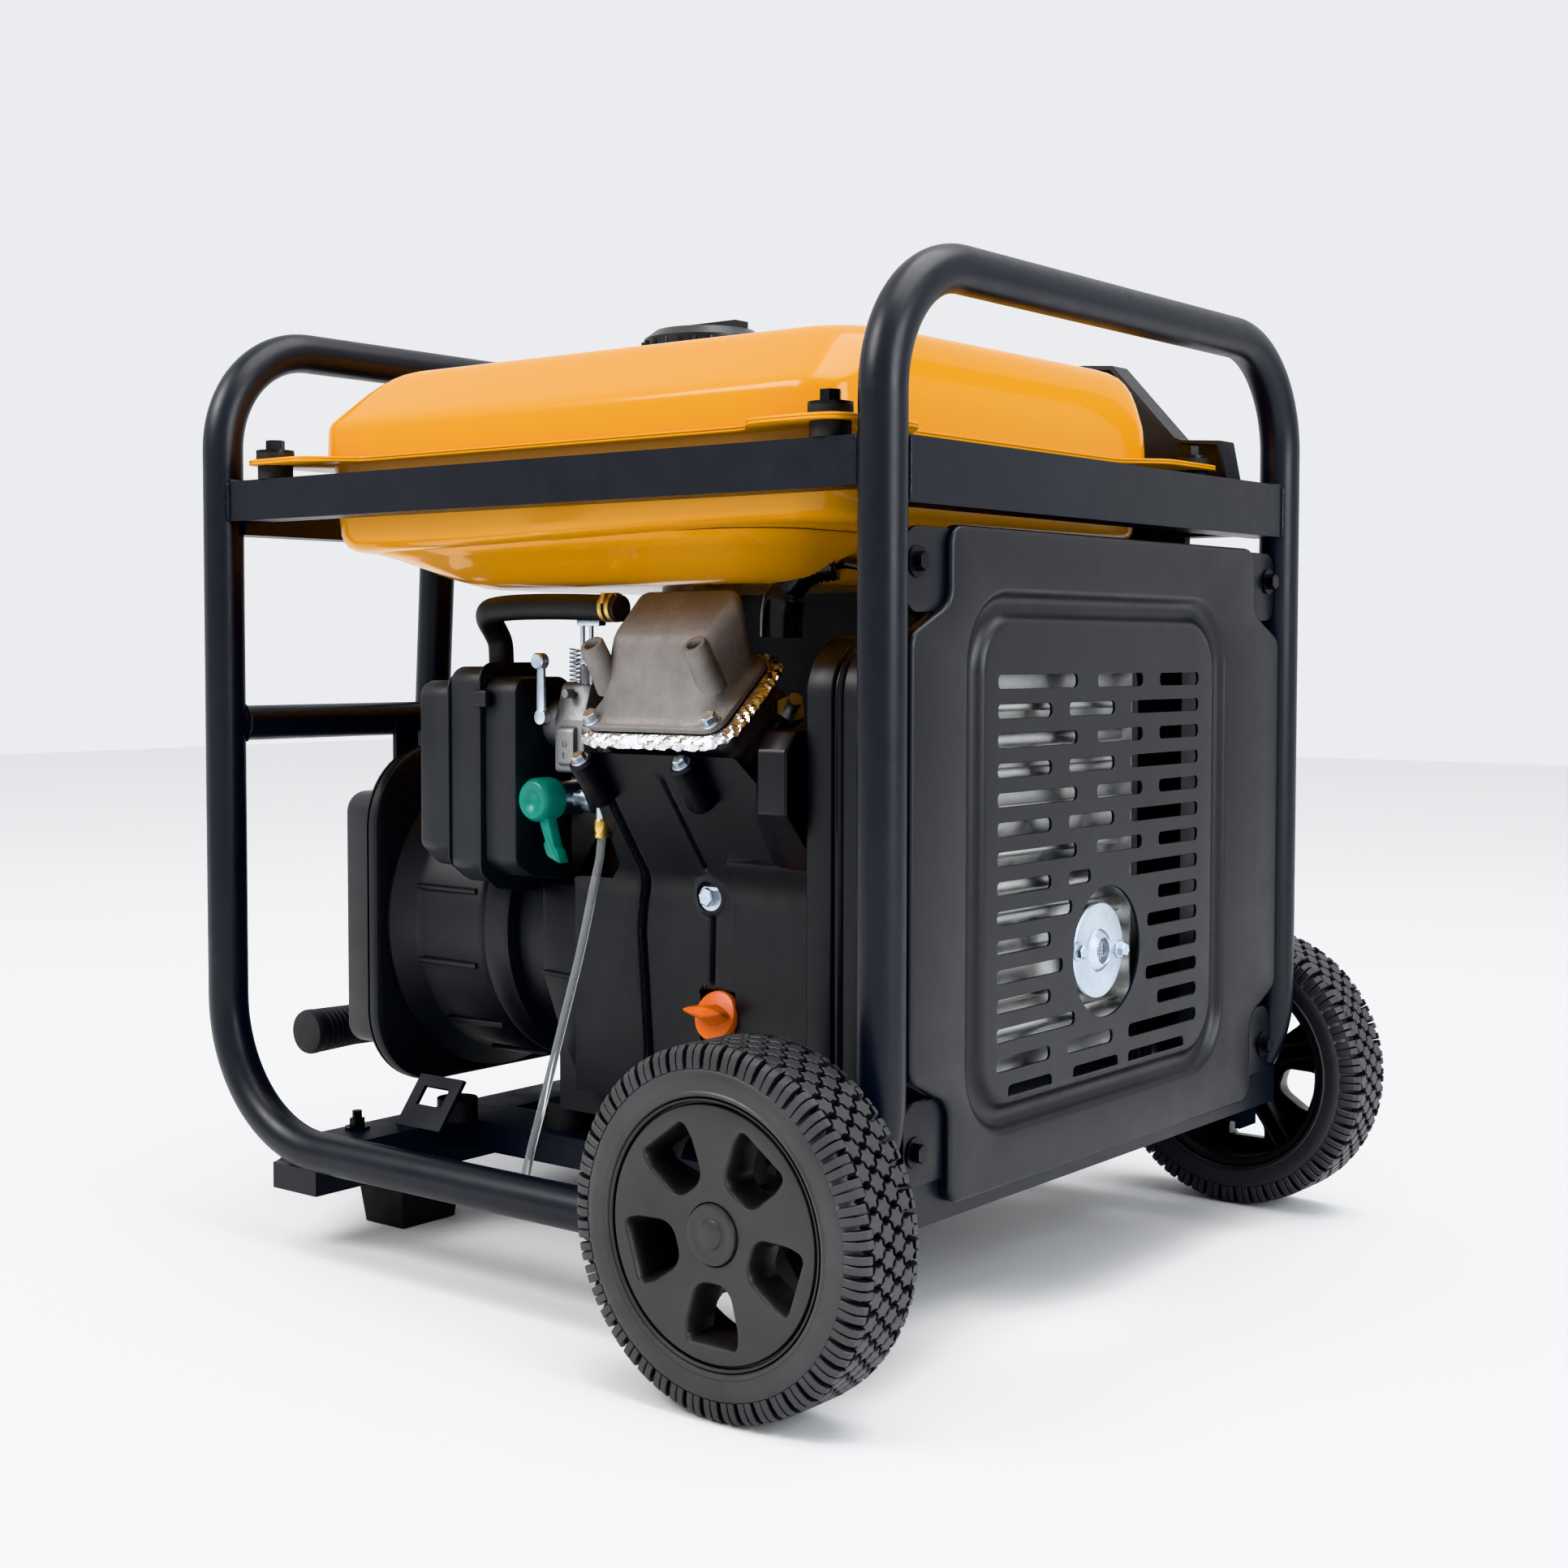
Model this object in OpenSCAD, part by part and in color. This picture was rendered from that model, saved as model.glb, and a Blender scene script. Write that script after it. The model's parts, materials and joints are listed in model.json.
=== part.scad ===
// Portable generator: tube frame on two wheels, engine, alternator, fuel tank and controls.
// Millimetres, +Z up, +X towards the wheels, -Y the engine service side.

/* [Frame] */
// Distance between leg centres along the length
frame_l = 577; // [560:1:700]
// Distance between leg centres across the width
frame_w = 491; // [480:1:600]
// Height of the top of the hoops
frame_h = 651; // [640:1:790]
// Outer diameter of the frame tube
tube_d = 28; // [24:1:34]
// Wall of every frame tube
tube_wall = 2; // [1.5:0.5:3]
// Centre-line radius of the hoops' top bends
top_bend_r = 76; // [60:1:100]
// Centre-line radius of the bottom bends
bottom_bend_r = 100; // [80:1:120]
// Height of the bottom rails' centre line
bottom_rail_z = 72; // [70:1:90]
// Height of the top of the upper rails
rail_top_z = 538; // [530:1:560]
// Height of the two side rails' section
side_rail_h = 28; // [20:1:40]
// Height of the two end rails' section
end_rail_h = 37; // [28:1:50]
// Thickness of all upper rails
rail_t = 25; // [18:1:30]

/* [Wheels] */
// Outer diameter of a tyre
tyre_d = 207; // [180:1:250]
// Width of a tyre
tyre_w = 56; // [40:1:70]
// Diameter of the rim under the tyre
rim_d = 150; // [130:1:170]
// Axle centre, from the frame's centre
axle_x = 236.5; // [220:0.5:250]
// Diameter of an axle bolt
axle_d = 12; // [10:0.5:16]

/* [Handle] */
// Height of the handle's pivot
handle_pivot_z = 508; // [500:1:514]
// Length from the pivot to the grips
handle_len = 388; // [320:1:430]
// Full width over the two grips
handle_w = 244; // [200:1:300]
// Diameter of a rubber grip
grip_d = 35; // [32:1:40]
// Lean of the stored handle from upright
handle_lean = 3.3; // [0:0.1:8]

/* [Tank] */
// Length of the fuel tank
tank_l = 457; // [400:1:520]
// Width of the fuel tank
tank_w = 387; // [340:1:420]
// Height of the upper shell above its seam
tank_upper_h = 67; // [50:1:90]
// Depth of the lower shell below its seam
tank_lower_h = 60; // [40:1:70]
// Sheet thickness of the tank
tank_wall = 1.6; // [1:0.1:3]
// Diameter of the fuel cap
cap_d = 86; // [70:1:100]

/* [Engine] */
// Height of the crankshaft
crank_z = 214; // [200:1:240]
// Tilt of the cylinder from upright
cylinder_tilt = 40.5; // [0:0.5:60]
// Distance from the crankshaft to the valve cover's seat
cover_seat = 230; // [210:1:260]
// Middle of the cylinder, from the frame's centre
cylinder_x = 56; // [40:1:80]
// Width of the cylinder head along the crankshaft
head_w = 112; // [90:1:130]
// Diameter of the crankshaft's journals
journal_d = 30; // [24:1:40]
// Radial running clearance of turning parts
run_gap = 0.05; // [0.01:0.01:0.1]

/* [Alternator] */
// Width and height of the housing's flange
alternator_size = 260; // [240:2:280]
// Length of the housing behind the flange
alternator_l = 124; // [110:1:150]

/* [Muffler panel] */
// Width of the panel's raised field
panel_w = 381; // [340:1:420]
// Height of the raised field
panel_h = 390; // [350:1:420]
// Width of the moulded channel's outline
channel_w = 324; // [280:1:340]
// Diameter of a mounting bolt's shank
bolt_d = 6; // [5:1:8]

/* [Controls] */
// Length of the control panel
control_l = 470; // [400:1:500]
// Height of the control panel
control_h = 352; // [300:1:380]
// Depth of the control box
control_t = 36; // [30:1:60]

/* [Drain tube] */
// Outer diameter of the clear drain tube
drain_d = 6; // [5:0.5:8]

/* [Hidden] */
$fn = 48;
// Facets on shapes that are blended
soft_fn = 24;
leg_x = frame_l / 2;
leg_y = frame_w / 2;
tube_r = tube_d / 2;
hoop_z = frame_h - tube_r;
leg_base_z = bottom_rail_z + bottom_bend_r;
side_rail_y = leg_y + 6;
end_rail_x = leg_x + 8.7;
axle_z = tyre_d / 2;
tyre_y = leg_y + 58.5;
handle_pivot_x = -leg_x - 44;
grip_reach = leg_x + 44 + handle_len * sin(handle_lean) + grip_d / 2;
// The middle of the whole object's box is the origin
frame_cx = (grip_reach - (axle_x + tyre_d / 2)) / 2;
seam_z = rail_top_z + 11;
tank_cx = 6.5;
tank_cy = -28.5;
cap_x = -12;
cap_y = -42;
foot_x = -217;
foot_y = 138;
foot_l = 40;
foot_w = 50;
foot_h = 40;
member_w = 46;
member_h = 24;
member_z = foot_h;
panel_x = leg_x + 9;
panel_z0 = 101;
alt_flange_x = -270;
alt_back_x = alt_flange_x + alternator_l;
alt_body = 212;
crankcase_x0 = -96;
crankcase_x1 = 152;
fan_x0 = 161;
fan_x1 = 229;
carb_y = -118;
carb_z = 368;
plug_x = cylinder_x + head_w / 2 - 10;
control_y = leg_y - 9;
control_z0 = 132;
grip_y = 70;
grip_z = crank_z + 68;
valve_x = -68;
valve_y = -140;
valve_z = 317;
spout_x = -20;
spout_d = 8;
lever_gap = 0.5;
lever_l = spout_x - spout_d / 2 - valve_x - lever_gap;
cross_z = 367;
cross_d = 25;
member_top = member_z + member_h + 8;
wheel_member_x = 150;
base_rail_y = 78;
isolator_x = -196;
isolator_w = 46;
isolator_tilt = 37;
mount_x = 242.5;
mount_y = 212.5;
bracket_y = leg_y + 21;
wheel_out = tyre_y + tyre_w / 2;
hub_d = 46;
web_t = 8;
// Outline of one opening of the rim, pointing along +X
window = [
  [27, 0], [29, -7], [34, -13], [42, -17], [58, -19], [62, -15], [63, 0],
  [62, 15], [58, 19], [42, 17], [34, 13], [29, 7]
];
pivot_d = 10;
grip_bar_d = grip_d - 9;
ear_gap = tube_d + 1;
neck_d = 58;
panel_cz = panel_z0 + panel_h / 2;
channel_y = -14;
channel_z = panel_cz - 1;
channel_h = panel_h - 73;
outlet_y = -12;
outlet_z = 229;
outlet_r = 42;
slot_h = 9;
slot_pitch = 17.45;
slot_top = panel_cz + 105;
lug_y = 219;
wing_y = leg_y - tube_r - 1.5;
lug_z = [136.5, 469];
muffler_x0 = 235;
muffler_x1 = 282;
muffler_y = -48;
muffler_z = 300;
pipe_y = -112;
pipe_z = 350;
pipe_d = 30;
port_x = cylinder_x + head_w / 2 + 5;
case_bottom = member_top + 20;
case_r = 84;
oil_x = 68;
oil_y = -106;
oil_z = 172;
oil_up = 18;
oil_d = 22;
face_y = -119;
shroud_t = 4;
shroud_boss_x = [-60, 28];
shroud_boss_y = -49;
boot_d = 20;
boot_path = [[118, -120, 428], [119, -120, 444], [125, -118, 462], [137, -112, 473], [151, -104, 475]];
lead_d = 8;
lead_path = [[161.6, -104, 475], [174, -100, 471], [185, -92, 460], [193, -80, 447], [197, -66, 434.2]];
filter_x = [-183, -149, -114, -84];
filter_y0 = -160;
filter_y1 = -101;
filter_cy = (filter_y0 + filter_y1) / 2;
filter_w = filter_y1 - filter_y0;
filter_z = 331;
hose_d = 16;
hose_path = [
  [8.6, -152, 447], [-14, -152, 448], [-50, -153, 449], [-84, -153, 449], [-106, -152, 448],
  [-120, -148, 446], [-129, -140, 441], [-132, -131, 433], [-132, -126, 424], [-132, -125, 409.2]
];
web_r = 52;
alt_wall = 4;
cover_w = 254;
cover_h = 192;
rope_d = 6;
hood_y = 225;
hood_t = 22;
hood_z = control_z0 + control_h + 18;
hood_path = [
  [-150, 0], [-150, 130], [150, 130], [174, 128], [226, 72], [232, 70], [262, 68], [268, 40], [268, 0]
];
hood_inside = [
  [-147, 3], [-147, 127], [150, 127], [172, 125], [224, 69], [260, 65], [265, 40], [265, 3]
];
breaker_x = 30;
breaker_z = 330;
breaker_d = 12;
switch_x = 150;
switch_z = 400;
switch_w = 20;
switch_h = 30;
drain_path = [
  [-20, -141, 303], [-20, -141, 294], [-21, -142, 280], [-24, -145, 260],
  [-27, -149, 235], [-30, -154, 210], [-33, -160, 185], [-36, -166, 160],
  [-39, -172, 135], [-42, -178, 110], [-45, -184, 86], [-47, -189, 64]
];

// ---------- shared shapes ----------

// Moves a piece from frame-centred places to the object's own origin
module placed() translate([frame_cx, 0, 0]) children();

// Cylinder along X between two places
module rod_x(x0, x1, d) translate([x0, 0, 0]) rotate([0, 90, 0]) cylinder(h = x1 - x0, d = d);

// Cylinder along Y between two places
module rod_y(y0, y1, d) translate([0, y1, 0]) rotate([90, 0, 0]) cylinder(h = y1 - y0, d = d);

// Box between two corners
module span(a, b) translate(a) cube(b - a);

// Rectangle with true round corners, centred
module round_rect(w, h, r) {
  square([w - 2 * r, h], center = true);
  square([w, h - 2 * r], center = true);
  for (sx = [-1, 1], sy = [-1, 1])
    translate([sx * (w / 2 - r), sy * (h / 2 - r)]) circle(r = r);
}

// Round-cornered plate standing across X, its outline given as Y by Z
module plate_x(x0, x1, w, h, r) translate([x0, 0, 0]) rotate([90, 0, 90])
  linear_extrude(x1 - x0) round_rect(w, h, r);

// Hexagon bolt head with a washer, standing up from z = 0
module hex_head(across, h, washer_d, washer_t) {
  cylinder(h = washer_t, d = washer_d);
  translate([0, 0, washer_t]) cylinder(h = h, d = across, $fn = 6);
}

// One leg, bend, bar, bend and leg of a bent tube, in the XZ plane with its bar at z = 0
module u_path(bar, drop, r, d, extra) {
  rod_x(-bar / 2 + r, bar / 2 - r, d);
  for (s = [0, 1]) mirror([s, 0, 0]) {
    translate([bar / 2 - r, 0, -r]) rotate([90, 0, 0])
      rotate_extrude(angle = 90) translate([r, 0]) circle(d = d);
    if (drop + extra > r) translate([bar / 2, 0, -drop - extra]) cylinder(h = drop + extra - r, d = d);
  }
}

// Hollow bent tube
module u_tube(bar, drop, r) difference() {
  u_path(bar, drop, r, tube_d, 0);
  u_path(bar, drop, r, tube_d - 2 * tube_wall, 1);
}

// The four legs as plain cylinders, for coping what is welded to them
module leg_cutters() for (sx = [-1, 1], sy = [-1, 1])
  translate([sx * leg_x, sy * leg_y, 60]) cylinder(h = hoop_z, d = tube_d);

// Box of the end rail on one side
module end_rail_box(sx, grow) translate([sx * (end_rail_x - rail_t / 2), 0, rail_top_z - end_rail_h / 2])
  cube([rail_t + grow, 2 * leg_y - 13, end_rail_h + grow], center = true);

// ---------- frame ----------

module hoop_wheel_end() color("#1c1f24") placed() {
  translate([leg_x, 0, hoop_z]) rotate([0, 0, 90]) u_tube(frame_w, hoop_z - leg_base_z, top_bend_r);
  panel_lugs(lug_z[1]);
}

module hoop_handle_end() color("#1c1f24") placed() translate([-leg_x, 0, hoop_z]) rotate([0, 0, 90])
  u_tube(frame_w, hoop_z - leg_base_z, top_bend_r);

module bottom_rails() color("#1c1f24") placed() {
  for (sy = [-1, 1]) translate([0, sy * leg_y, bottom_rail_z]) mirror([0, 0, 1])
    u_tube(frame_l, bottom_bend_r, bottom_bend_r);
  panel_lugs(lug_z[0]);
}

module side_rails() color("#1c1f24") placed() difference() {
  for (sy = [-1, 1]) translate([0, sy * (side_rail_y - rail_t / 2), rail_top_z - side_rail_h / 2])
    difference() {
      cube([frame_l, rail_t, side_rail_h], center = true);
      cube([frame_l - 44, rail_t - 4, side_rail_h - 4], center = true);
    }
  leg_cutters();
  for (sx = [-1, 1]) end_rail_box(sx, 0);
}

module end_rails() color("#1c1f24") placed() {
  difference() {
    for (sx = [-1, 1]) difference() {
      end_rail_box(sx, 0);
      translate([sx * (end_rail_x - rail_t / 2), 0, rail_top_z - end_rail_h / 2])
        cube([rail_t - 2 * tube_wall, frame_w - 60, end_rail_h - 2 * tube_wall], center = true);
    }
    leg_cutters();
  }
  tank_rail();
}

module cross_tube() color("#1c1f24") placed() {
  difference() {
    translate([-leg_x, 0, cross_z]) rod_y(-leg_y, leg_y, cross_d);
    translate([-leg_x, 0, cross_z]) rod_y(-leg_y + 20, leg_y - 20, cross_d - 2 * tube_wall);
    leg_cutters();
  }
  for (sy = [-1, 1]) difference() {
    union() {
      span([alt_flange_x - 9, sy * 86 - 11, crank_z + 102], [alt_flange_x - 5, sy * 86 + 11, cross_z]);
      span([-leg_x, sy * 86 - 11, cross_z - 6], [alt_flange_x - 5, sy * 86 + 11, cross_z]);
    }
    translate([-leg_x, 0, cross_z]) rod_y(-leg_y, leg_y, cross_d);
  }
}

// Flat bar under the tank's two far corners
module tank_rail() difference() {
  translate([0, tank_cy + mount_y, rail_top_z - 4]) cube([2 * (end_rail_x - rail_t), 25, 8], center = true);
  for (sx = [-1, 1]) translate([tank_cx + sx * mount_x, tank_cy + mount_y, rail_top_z - 20])
    cylinder(h = 30, d = 8);
}

// Lugs on the wheel end's legs that the muffler panel is bolted to
module panel_lugs(z) difference() {
  for (sy = [-1, 1]) translate([leg_x - 1.5, sy * (lug_y + 2), z])
    cube([3, 30, 34], center = true);
  leg_cutters();
  for (sy = [-1, 1]) translate([0, sy * leg_y, bottom_rail_z]) mirror([0, 0, 1])
    u_path(frame_l, bottom_bend_r, bottom_bend_r, tube_d, 0);
  for (sy = [-1, 1]) translate([leg_x - 10, sy * lug_y, z]) rotate([0, 90, 0])
    cylinder(h = 20, d = bolt_d + 1);
}

// Channel across the frame with its ends coped to the bottom rails
module cross_member(x) difference() {
  translate([x - member_w / 2, -leg_y, member_z]) cube([member_w, frame_w, member_h + 8]);
  translate([x - member_w / 2 + 3, -leg_y + 20, member_z - 3])
    cube([member_w - 6, frame_w - 40, member_h + 8]);
  for (sy = [-1, 1]) translate([0, sy * leg_y, bottom_rail_z]) rod_x(-leg_x, leg_x, tube_d);
}

module base_frame() color("#191b1f") placed() {
  isolator_plates();
  cross_member(foot_x);
  cross_member(wheel_member_x);
  for (sy = [-1, 1]) difference() {
    span([foot_x + member_w / 2, sy * base_rail_y - 26, member_top - 22],
         [wheel_member_x - member_w / 2, sy * base_rail_y + 26, member_top]);
    span([foot_x, sy * base_rail_y - 23, member_top - 30],
         [wheel_member_x, sy * base_rail_y + 23, member_top - 3]);
    for (x = [-110, 60]) translate([x, sy * base_rail_y, 0]) cylinder(h = 100, d = 9);
  }
  // End strip below the muffler panel
  difference() {
    span([leg_x - 4, -leg_y, 91], [leg_x + 1, leg_y, 118]);
    leg_cutters();
    for (sy = [-1, 1]) translate([0, sy * leg_y, bottom_rail_z]) mirror([0, 0, 1])
      u_path(frame_l, bottom_bend_r, bottom_bend_r, tube_d, 0);
  }
}

module feet() color("#111111") placed() for (sy = [-1, 1]) hull() {
  translate([foot_x, sy * foot_y, foot_h - 1]) cube([foot_l + 8, foot_w + 10, 2], center = true);
  translate([foot_x, sy * foot_y, 1]) cube([foot_l, foot_w, 2], center = true);
}

// Sloping windowed plate of an engine isolator, standing on the cross member
module isolator_plates() for (sy = [0, 1]) mirror([0, sy, 0])
  translate([isolator_x, -150, member_top]) rotate([-isolator_tilt, 0, 0]) difference() {
    translate([-isolator_w / 2, 0, 0]) cube([isolator_w, 3, 42]);
    translate([-13, -1, 18]) cube([26, 5, 15]);
  }

// Rubber block behind each plate
module isolator_blocks() for (sy = [-1, 1])
  translate([isolator_x, sy * 110, member_top]) cylinder(h = 16, d = 30);

// Bolts that hold the feet and isolators to the cross members
module base_bolts() for (sy = [-1, 1]) {
  translate([foot_x - 12, sy * 178, member_top]) hex_head(11, 6, 18, 1.5);
  translate([foot_x - 12, sy * 178, member_top]) cylinder(h = 13, d = 7);
}

module axle_brackets() color("#1c1f24") placed() for (sy = [0, 1]) mirror([0, sy, 0]) difference() {
  union() {
    span([axle_x - 26, -bracket_y - 5, 66], [axle_x + 26, -bracket_y, axle_z + 20]);
    for (x = [axle_x - 26, axle_x + 22])
      span([x, -bracket_y, 66], [x + 4, -leg_y, axle_z + 20]);
  }
  translate([axle_x, 0, axle_z]) rod_y(-bracket_y - 10, -bracket_y + 4, axle_d + 2 * run_gap);
  translate([0, -leg_y, bottom_rail_z]) mirror([0, 0, 1])
    u_path(frame_l, bottom_bend_r, bottom_bend_r, tube_d, 0);
  translate([leg_x, -leg_y, 60]) cylinder(h = hoop_z, d = tube_d);
}

module axle_bolts() color("#8a8d90") placed() for (sy = [0, 1]) mirror([0, sy, 0])
  translate([axle_x, 0, axle_z]) {
    rod_y(-wheel_out + 8, -bracket_y, axle_d);
    translate([0, -bracket_y, 0]) rotate([-90, 0, 0]) cylinder(h = 5, d = 20, $fn = 6);
    rod_y(-wheel_out + 5, -wheel_out + 8, 20);
  }

// ---------- wheels ----------

module tyre() rotate([90, 0, 0]) rotate_extrude() polygon([
  [rim_d / 2, -20], [rim_d / 2 + 3, -tyre_w / 2 + 3], [rim_d / 2 + 10, -tyre_w / 2],
  [tyre_d / 2 - 13, -tyre_w / 2], [tyre_d / 2 - 5, -tyre_w / 2 + 4],
  [tyre_d / 2 - 1, -tyre_w / 2 + 12], [tyre_d / 2, -8], [tyre_d / 2, 8],
  [tyre_d / 2 - 1, tyre_w / 2 - 12], [tyre_d / 2 - 5, tyre_w / 2 - 4],
  [tyre_d / 2 - 13, tyre_w / 2], [rim_d / 2 + 10, tyre_w / 2],
  [rim_d / 2 + 3, tyre_w / 2 - 3], [rim_d / 2, 20]
]);

module rim() rotate([90, 0, 0]) difference() {
  union() {
    rotate_extrude() polygon([
      [rim_d / 2, -20], [rim_d / 2, 20], [rim_d / 2 + 2, tyre_w / 2 - 3], [rim_d / 2 - 4, tyre_w / 2 - 2],
      [rim_d / 2 - 6, 16], [rim_d / 2 - 6, -16], [rim_d / 2 - 4, -tyre_w / 2 + 4],
      [rim_d / 2 + 2, -tyre_w / 2 + 4]
    ]);
    translate([0, 0, -tyre_w / 2 + 1]) cylinder(h = tyre_w - 8, d = hub_d);
    difference() {
      translate([0, 0, tyre_w / 2 - 2 - web_t]) cylinder(h = web_t, d = rim_d - 8);
      for (i = [0:4]) rotate([0, 0, 72 * i - 90]) translate([0, 0, 5]) linear_extrude(30) polygon(window);
    }
    // Ribs inside each spoke
    for (i = [0:4]) rotate([0, 0, 72 * i + 90]) translate([hub_d / 2 - 2, -2, -12])
      cube([rim_d / 2 - hub_d / 2 - 2, 4, tyre_w / 2 + 4]);
  }
  translate([0, 0, -tyre_w]) cylinder(h = 2 * tyre_w, d = axle_d + 2 * run_gap);
  translate([0, 0, tyre_w / 2 - 9]) cylinder(h = 10, d = 34);
}

module hub_cap() rotate([90, 0, 0]) {
  translate([0, 0, tyre_w / 2 - 8]) difference() {
    cylinder(h = 8.5, d = 34);
    translate([0, 0, -1]) cylinder(h = 6, d = 27);
  }
  translate([0, 0, tyre_w / 2]) cylinder(h = 1.5, d = 15);
}

module at_wheel(side) placed() mirror([0, side, 0]) translate([axle_x, -tyre_y, axle_z]) children();

module tyre_near() color("#161616") at_wheel(0) tyre();
module rim_near() color("#26272a") at_wheel(0) rim();
module hub_cap_near() color("#303135") at_wheel(0) hub_cap();
module tyre_far() color("#161616") at_wheel(1) tyre();
module rim_far() color("#26272a") at_wheel(1) rim();
module hub_cap_far() color("#303135") at_wheel(1) hub_cap();

// ---------- tow handle ----------

module handle_bracket() color("#1c1f24") placed() difference() {
  union() {
    for (s = [0, 1]) mirror([0, s, 0])
      span([handle_pivot_x - 14, ear_gap / 2, handle_pivot_z - 16],
           [-end_rail_x - 4, ear_gap / 2 + 5, rail_top_z - 2]);
    span([-end_rail_x - 4, -ear_gap / 2 - 5, handle_pivot_z + 16],
         [-end_rail_x, ear_gap / 2 + 5, rail_top_z - 2]);
  }
  translate([handle_pivot_x, 0, handle_pivot_z]) rod_y(-40, 40, pivot_d);
}

module handle_pin() color("#8a8d90") placed() translate([handle_pivot_x, 0, handle_pivot_z]) {
  rod_y(-ear_gap / 2 - 7, ear_gap / 2 + 7, pivot_d);
  for (s = [0, 1]) mirror([0, s, 0])
    rod_y(ear_gap / 2 + 5, ear_gap / 2 + 10, 17);
}

// Carries what belongs to the leaning handle, hanging down from the pivot
module handle_place() placed() translate([handle_pivot_x, 0, handle_pivot_z])
  rotate([0, handle_lean, 0]) children();

module handle_stem() color("#1c1f24") handle_place() difference() {
  union() {
    translate([0, 0, -handle_len]) cylinder(h = handle_len + 14, d = tube_d);
    translate([0, 0, -handle_len]) rod_y(-handle_w / 2 + 8, handle_w / 2 - 8, grip_bar_d);
  }
  rod_y(-40, 40, pivot_d + 2 * run_gap);
  translate([0, 0, -handle_len + 30]) cylinder(h = handle_len - 50, d = tube_d - 5);
}

module handle_grips() color("#2a2a2c") handle_place() for (s = [0, 1]) mirror([0, s, 0])
  translate([0, 0, -handle_len]) rotate([-90, 0, 0]) difference() {
    rotate_extrude() polygon([
      [0, handle_w / 2], [grip_d / 2 - 1, handle_w / 2], [grip_d / 2, handle_w / 2 - 2],
      [grip_d / 2, handle_w / 2 - 8], [grip_d / 2 - 1.6, handle_w / 2 - 30],
      [grip_d / 2 - 1.8, handle_w / 2 - 50], [grip_d / 2, handle_w / 2 - 84],
      [grip_d / 2 - 1, handle_w / 2 - 90], [0, handle_w / 2 - 90]
    ]);
    cylinder(h = handle_w / 2 - 8, d = grip_bar_d);
  }

// ---------- fuel tank ----------

// Level round-cornered slab used to build the tank's skins
module slab(w, d, r, z, t) translate([0, 0, z]) linear_extrude(t) round_rect(w, d, r);

// Outside of the upper shell, drawn in by one wall for its inside
module tank_dome(in) hull() {
  slab(tank_l - 2 * in, tank_w - 2 * in, 40, 0, 6);
  slab(tank_l - 14 - 2 * in, tank_w - 3 - 2 * in, 40, 26, 3 - in);
  translate([1, 18, 0]) slab(tank_l - 30 - 2 * in, tank_w - 67 - 2 * in, 44, tank_upper_h - 3, 3 - in);
}

module tank_place() placed() translate([tank_cx, tank_cy, seam_z]) children();

module tank_flange(z, t) difference() {
  union() {
    slab(tank_l + 12, tank_w + 12, 46, z, t);
    for (sx = [-1, 1], sy = [-1, 1]) {
      translate([sx * mount_x, sy * mount_y, z]) cylinder(h = t, r = 18);
      translate([sx * (mount_x - 26), sy * (mount_y - 26), z + t / 2]) cube([88, 88, t], center = true);
    }
  }
  for (sx = [-1, 1], sy = [-1, 1])
    translate([sx * mount_x, sy * mount_y, z - 1]) cylinder(h = t + 2, d = 9);
}

module tank_upper() color("#f0a30a") tank_place() {
  difference() {
    tank_dome(0);
    translate([0, 0, -1]) tank_dome(tank_wall);
    translate([cap_x - tank_cx, cap_y - tank_cy, 20]) cylinder(h = 80, d = neck_d);
  }
  difference() {
    tank_flange(0, 2);
    tank_dome(0);
  }
}

module sump(in) hull() {
  slab(340 - 2 * in, 240 - 2 * in, 40, -tank_lower_h, 3);
  slab(250 - 2 * in, 190 - 2 * in, 40, -tank_lower_h - 25 + in, 3);
}

module tank_belly(in) {
  hull() {
    slab(tank_l - 6 - 2 * in, tank_w - 6 - 2 * in, 40, -6, 6 + in);
    slab(tank_l - 12 - 2 * in, tank_w - 14 - 2 * in, 40, -tank_lower_h + 8, 4);
    slab(tank_l - 26 - 2 * in, tank_w - 34 - 2 * in, 36, -tank_lower_h + in, 3);
  }
  translate([-33, 4, 0]) sump(in);
}

module tank_lower() color("#f0a30a") tank_place() difference() {
  union() {
    tank_belly(0);
    tank_flange(-tank_wall, tank_wall);
  }
  tank_belly(tank_wall);
}

module at_tank_mounts() tank_place() for (sx = [-1, 1], sy = [-1, 1])
  translate([sx * mount_x, sy * mount_y, 0]) children();

module tank_mounts() color("#111111") at_tank_mounts() difference() {
  union() {
    translate([0, 0, rail_top_z - seam_z]) cylinder(h = seam_z - rail_top_z - tank_wall, d = 24);
    translate([0, 0, 2]) cylinder(h = 5, d = 26);
  }
  translate([0, 0, -12]) cylinder(h = 30, d = 8);
}

module tank_bolts() color("#202124") at_tank_mounts() {
  translate([0, 0, -11]) cylinder(h = 19, d = 8);
  translate([0, 0, 7]) hex_head(13, 7, 26, 2);
}

module at_filler() tank_place() translate([cap_x - tank_cx, cap_y - tank_cy, 0]) children();

module filler_neck() color("#b8860b") at_filler() difference() {
  translate([0, 0, tank_upper_h - 24]) cylinder(h = 32, d = neck_d);
  translate([0, 0, tank_upper_h - 25]) cylinder(h = 40, d = neck_d - 5);
}

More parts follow.
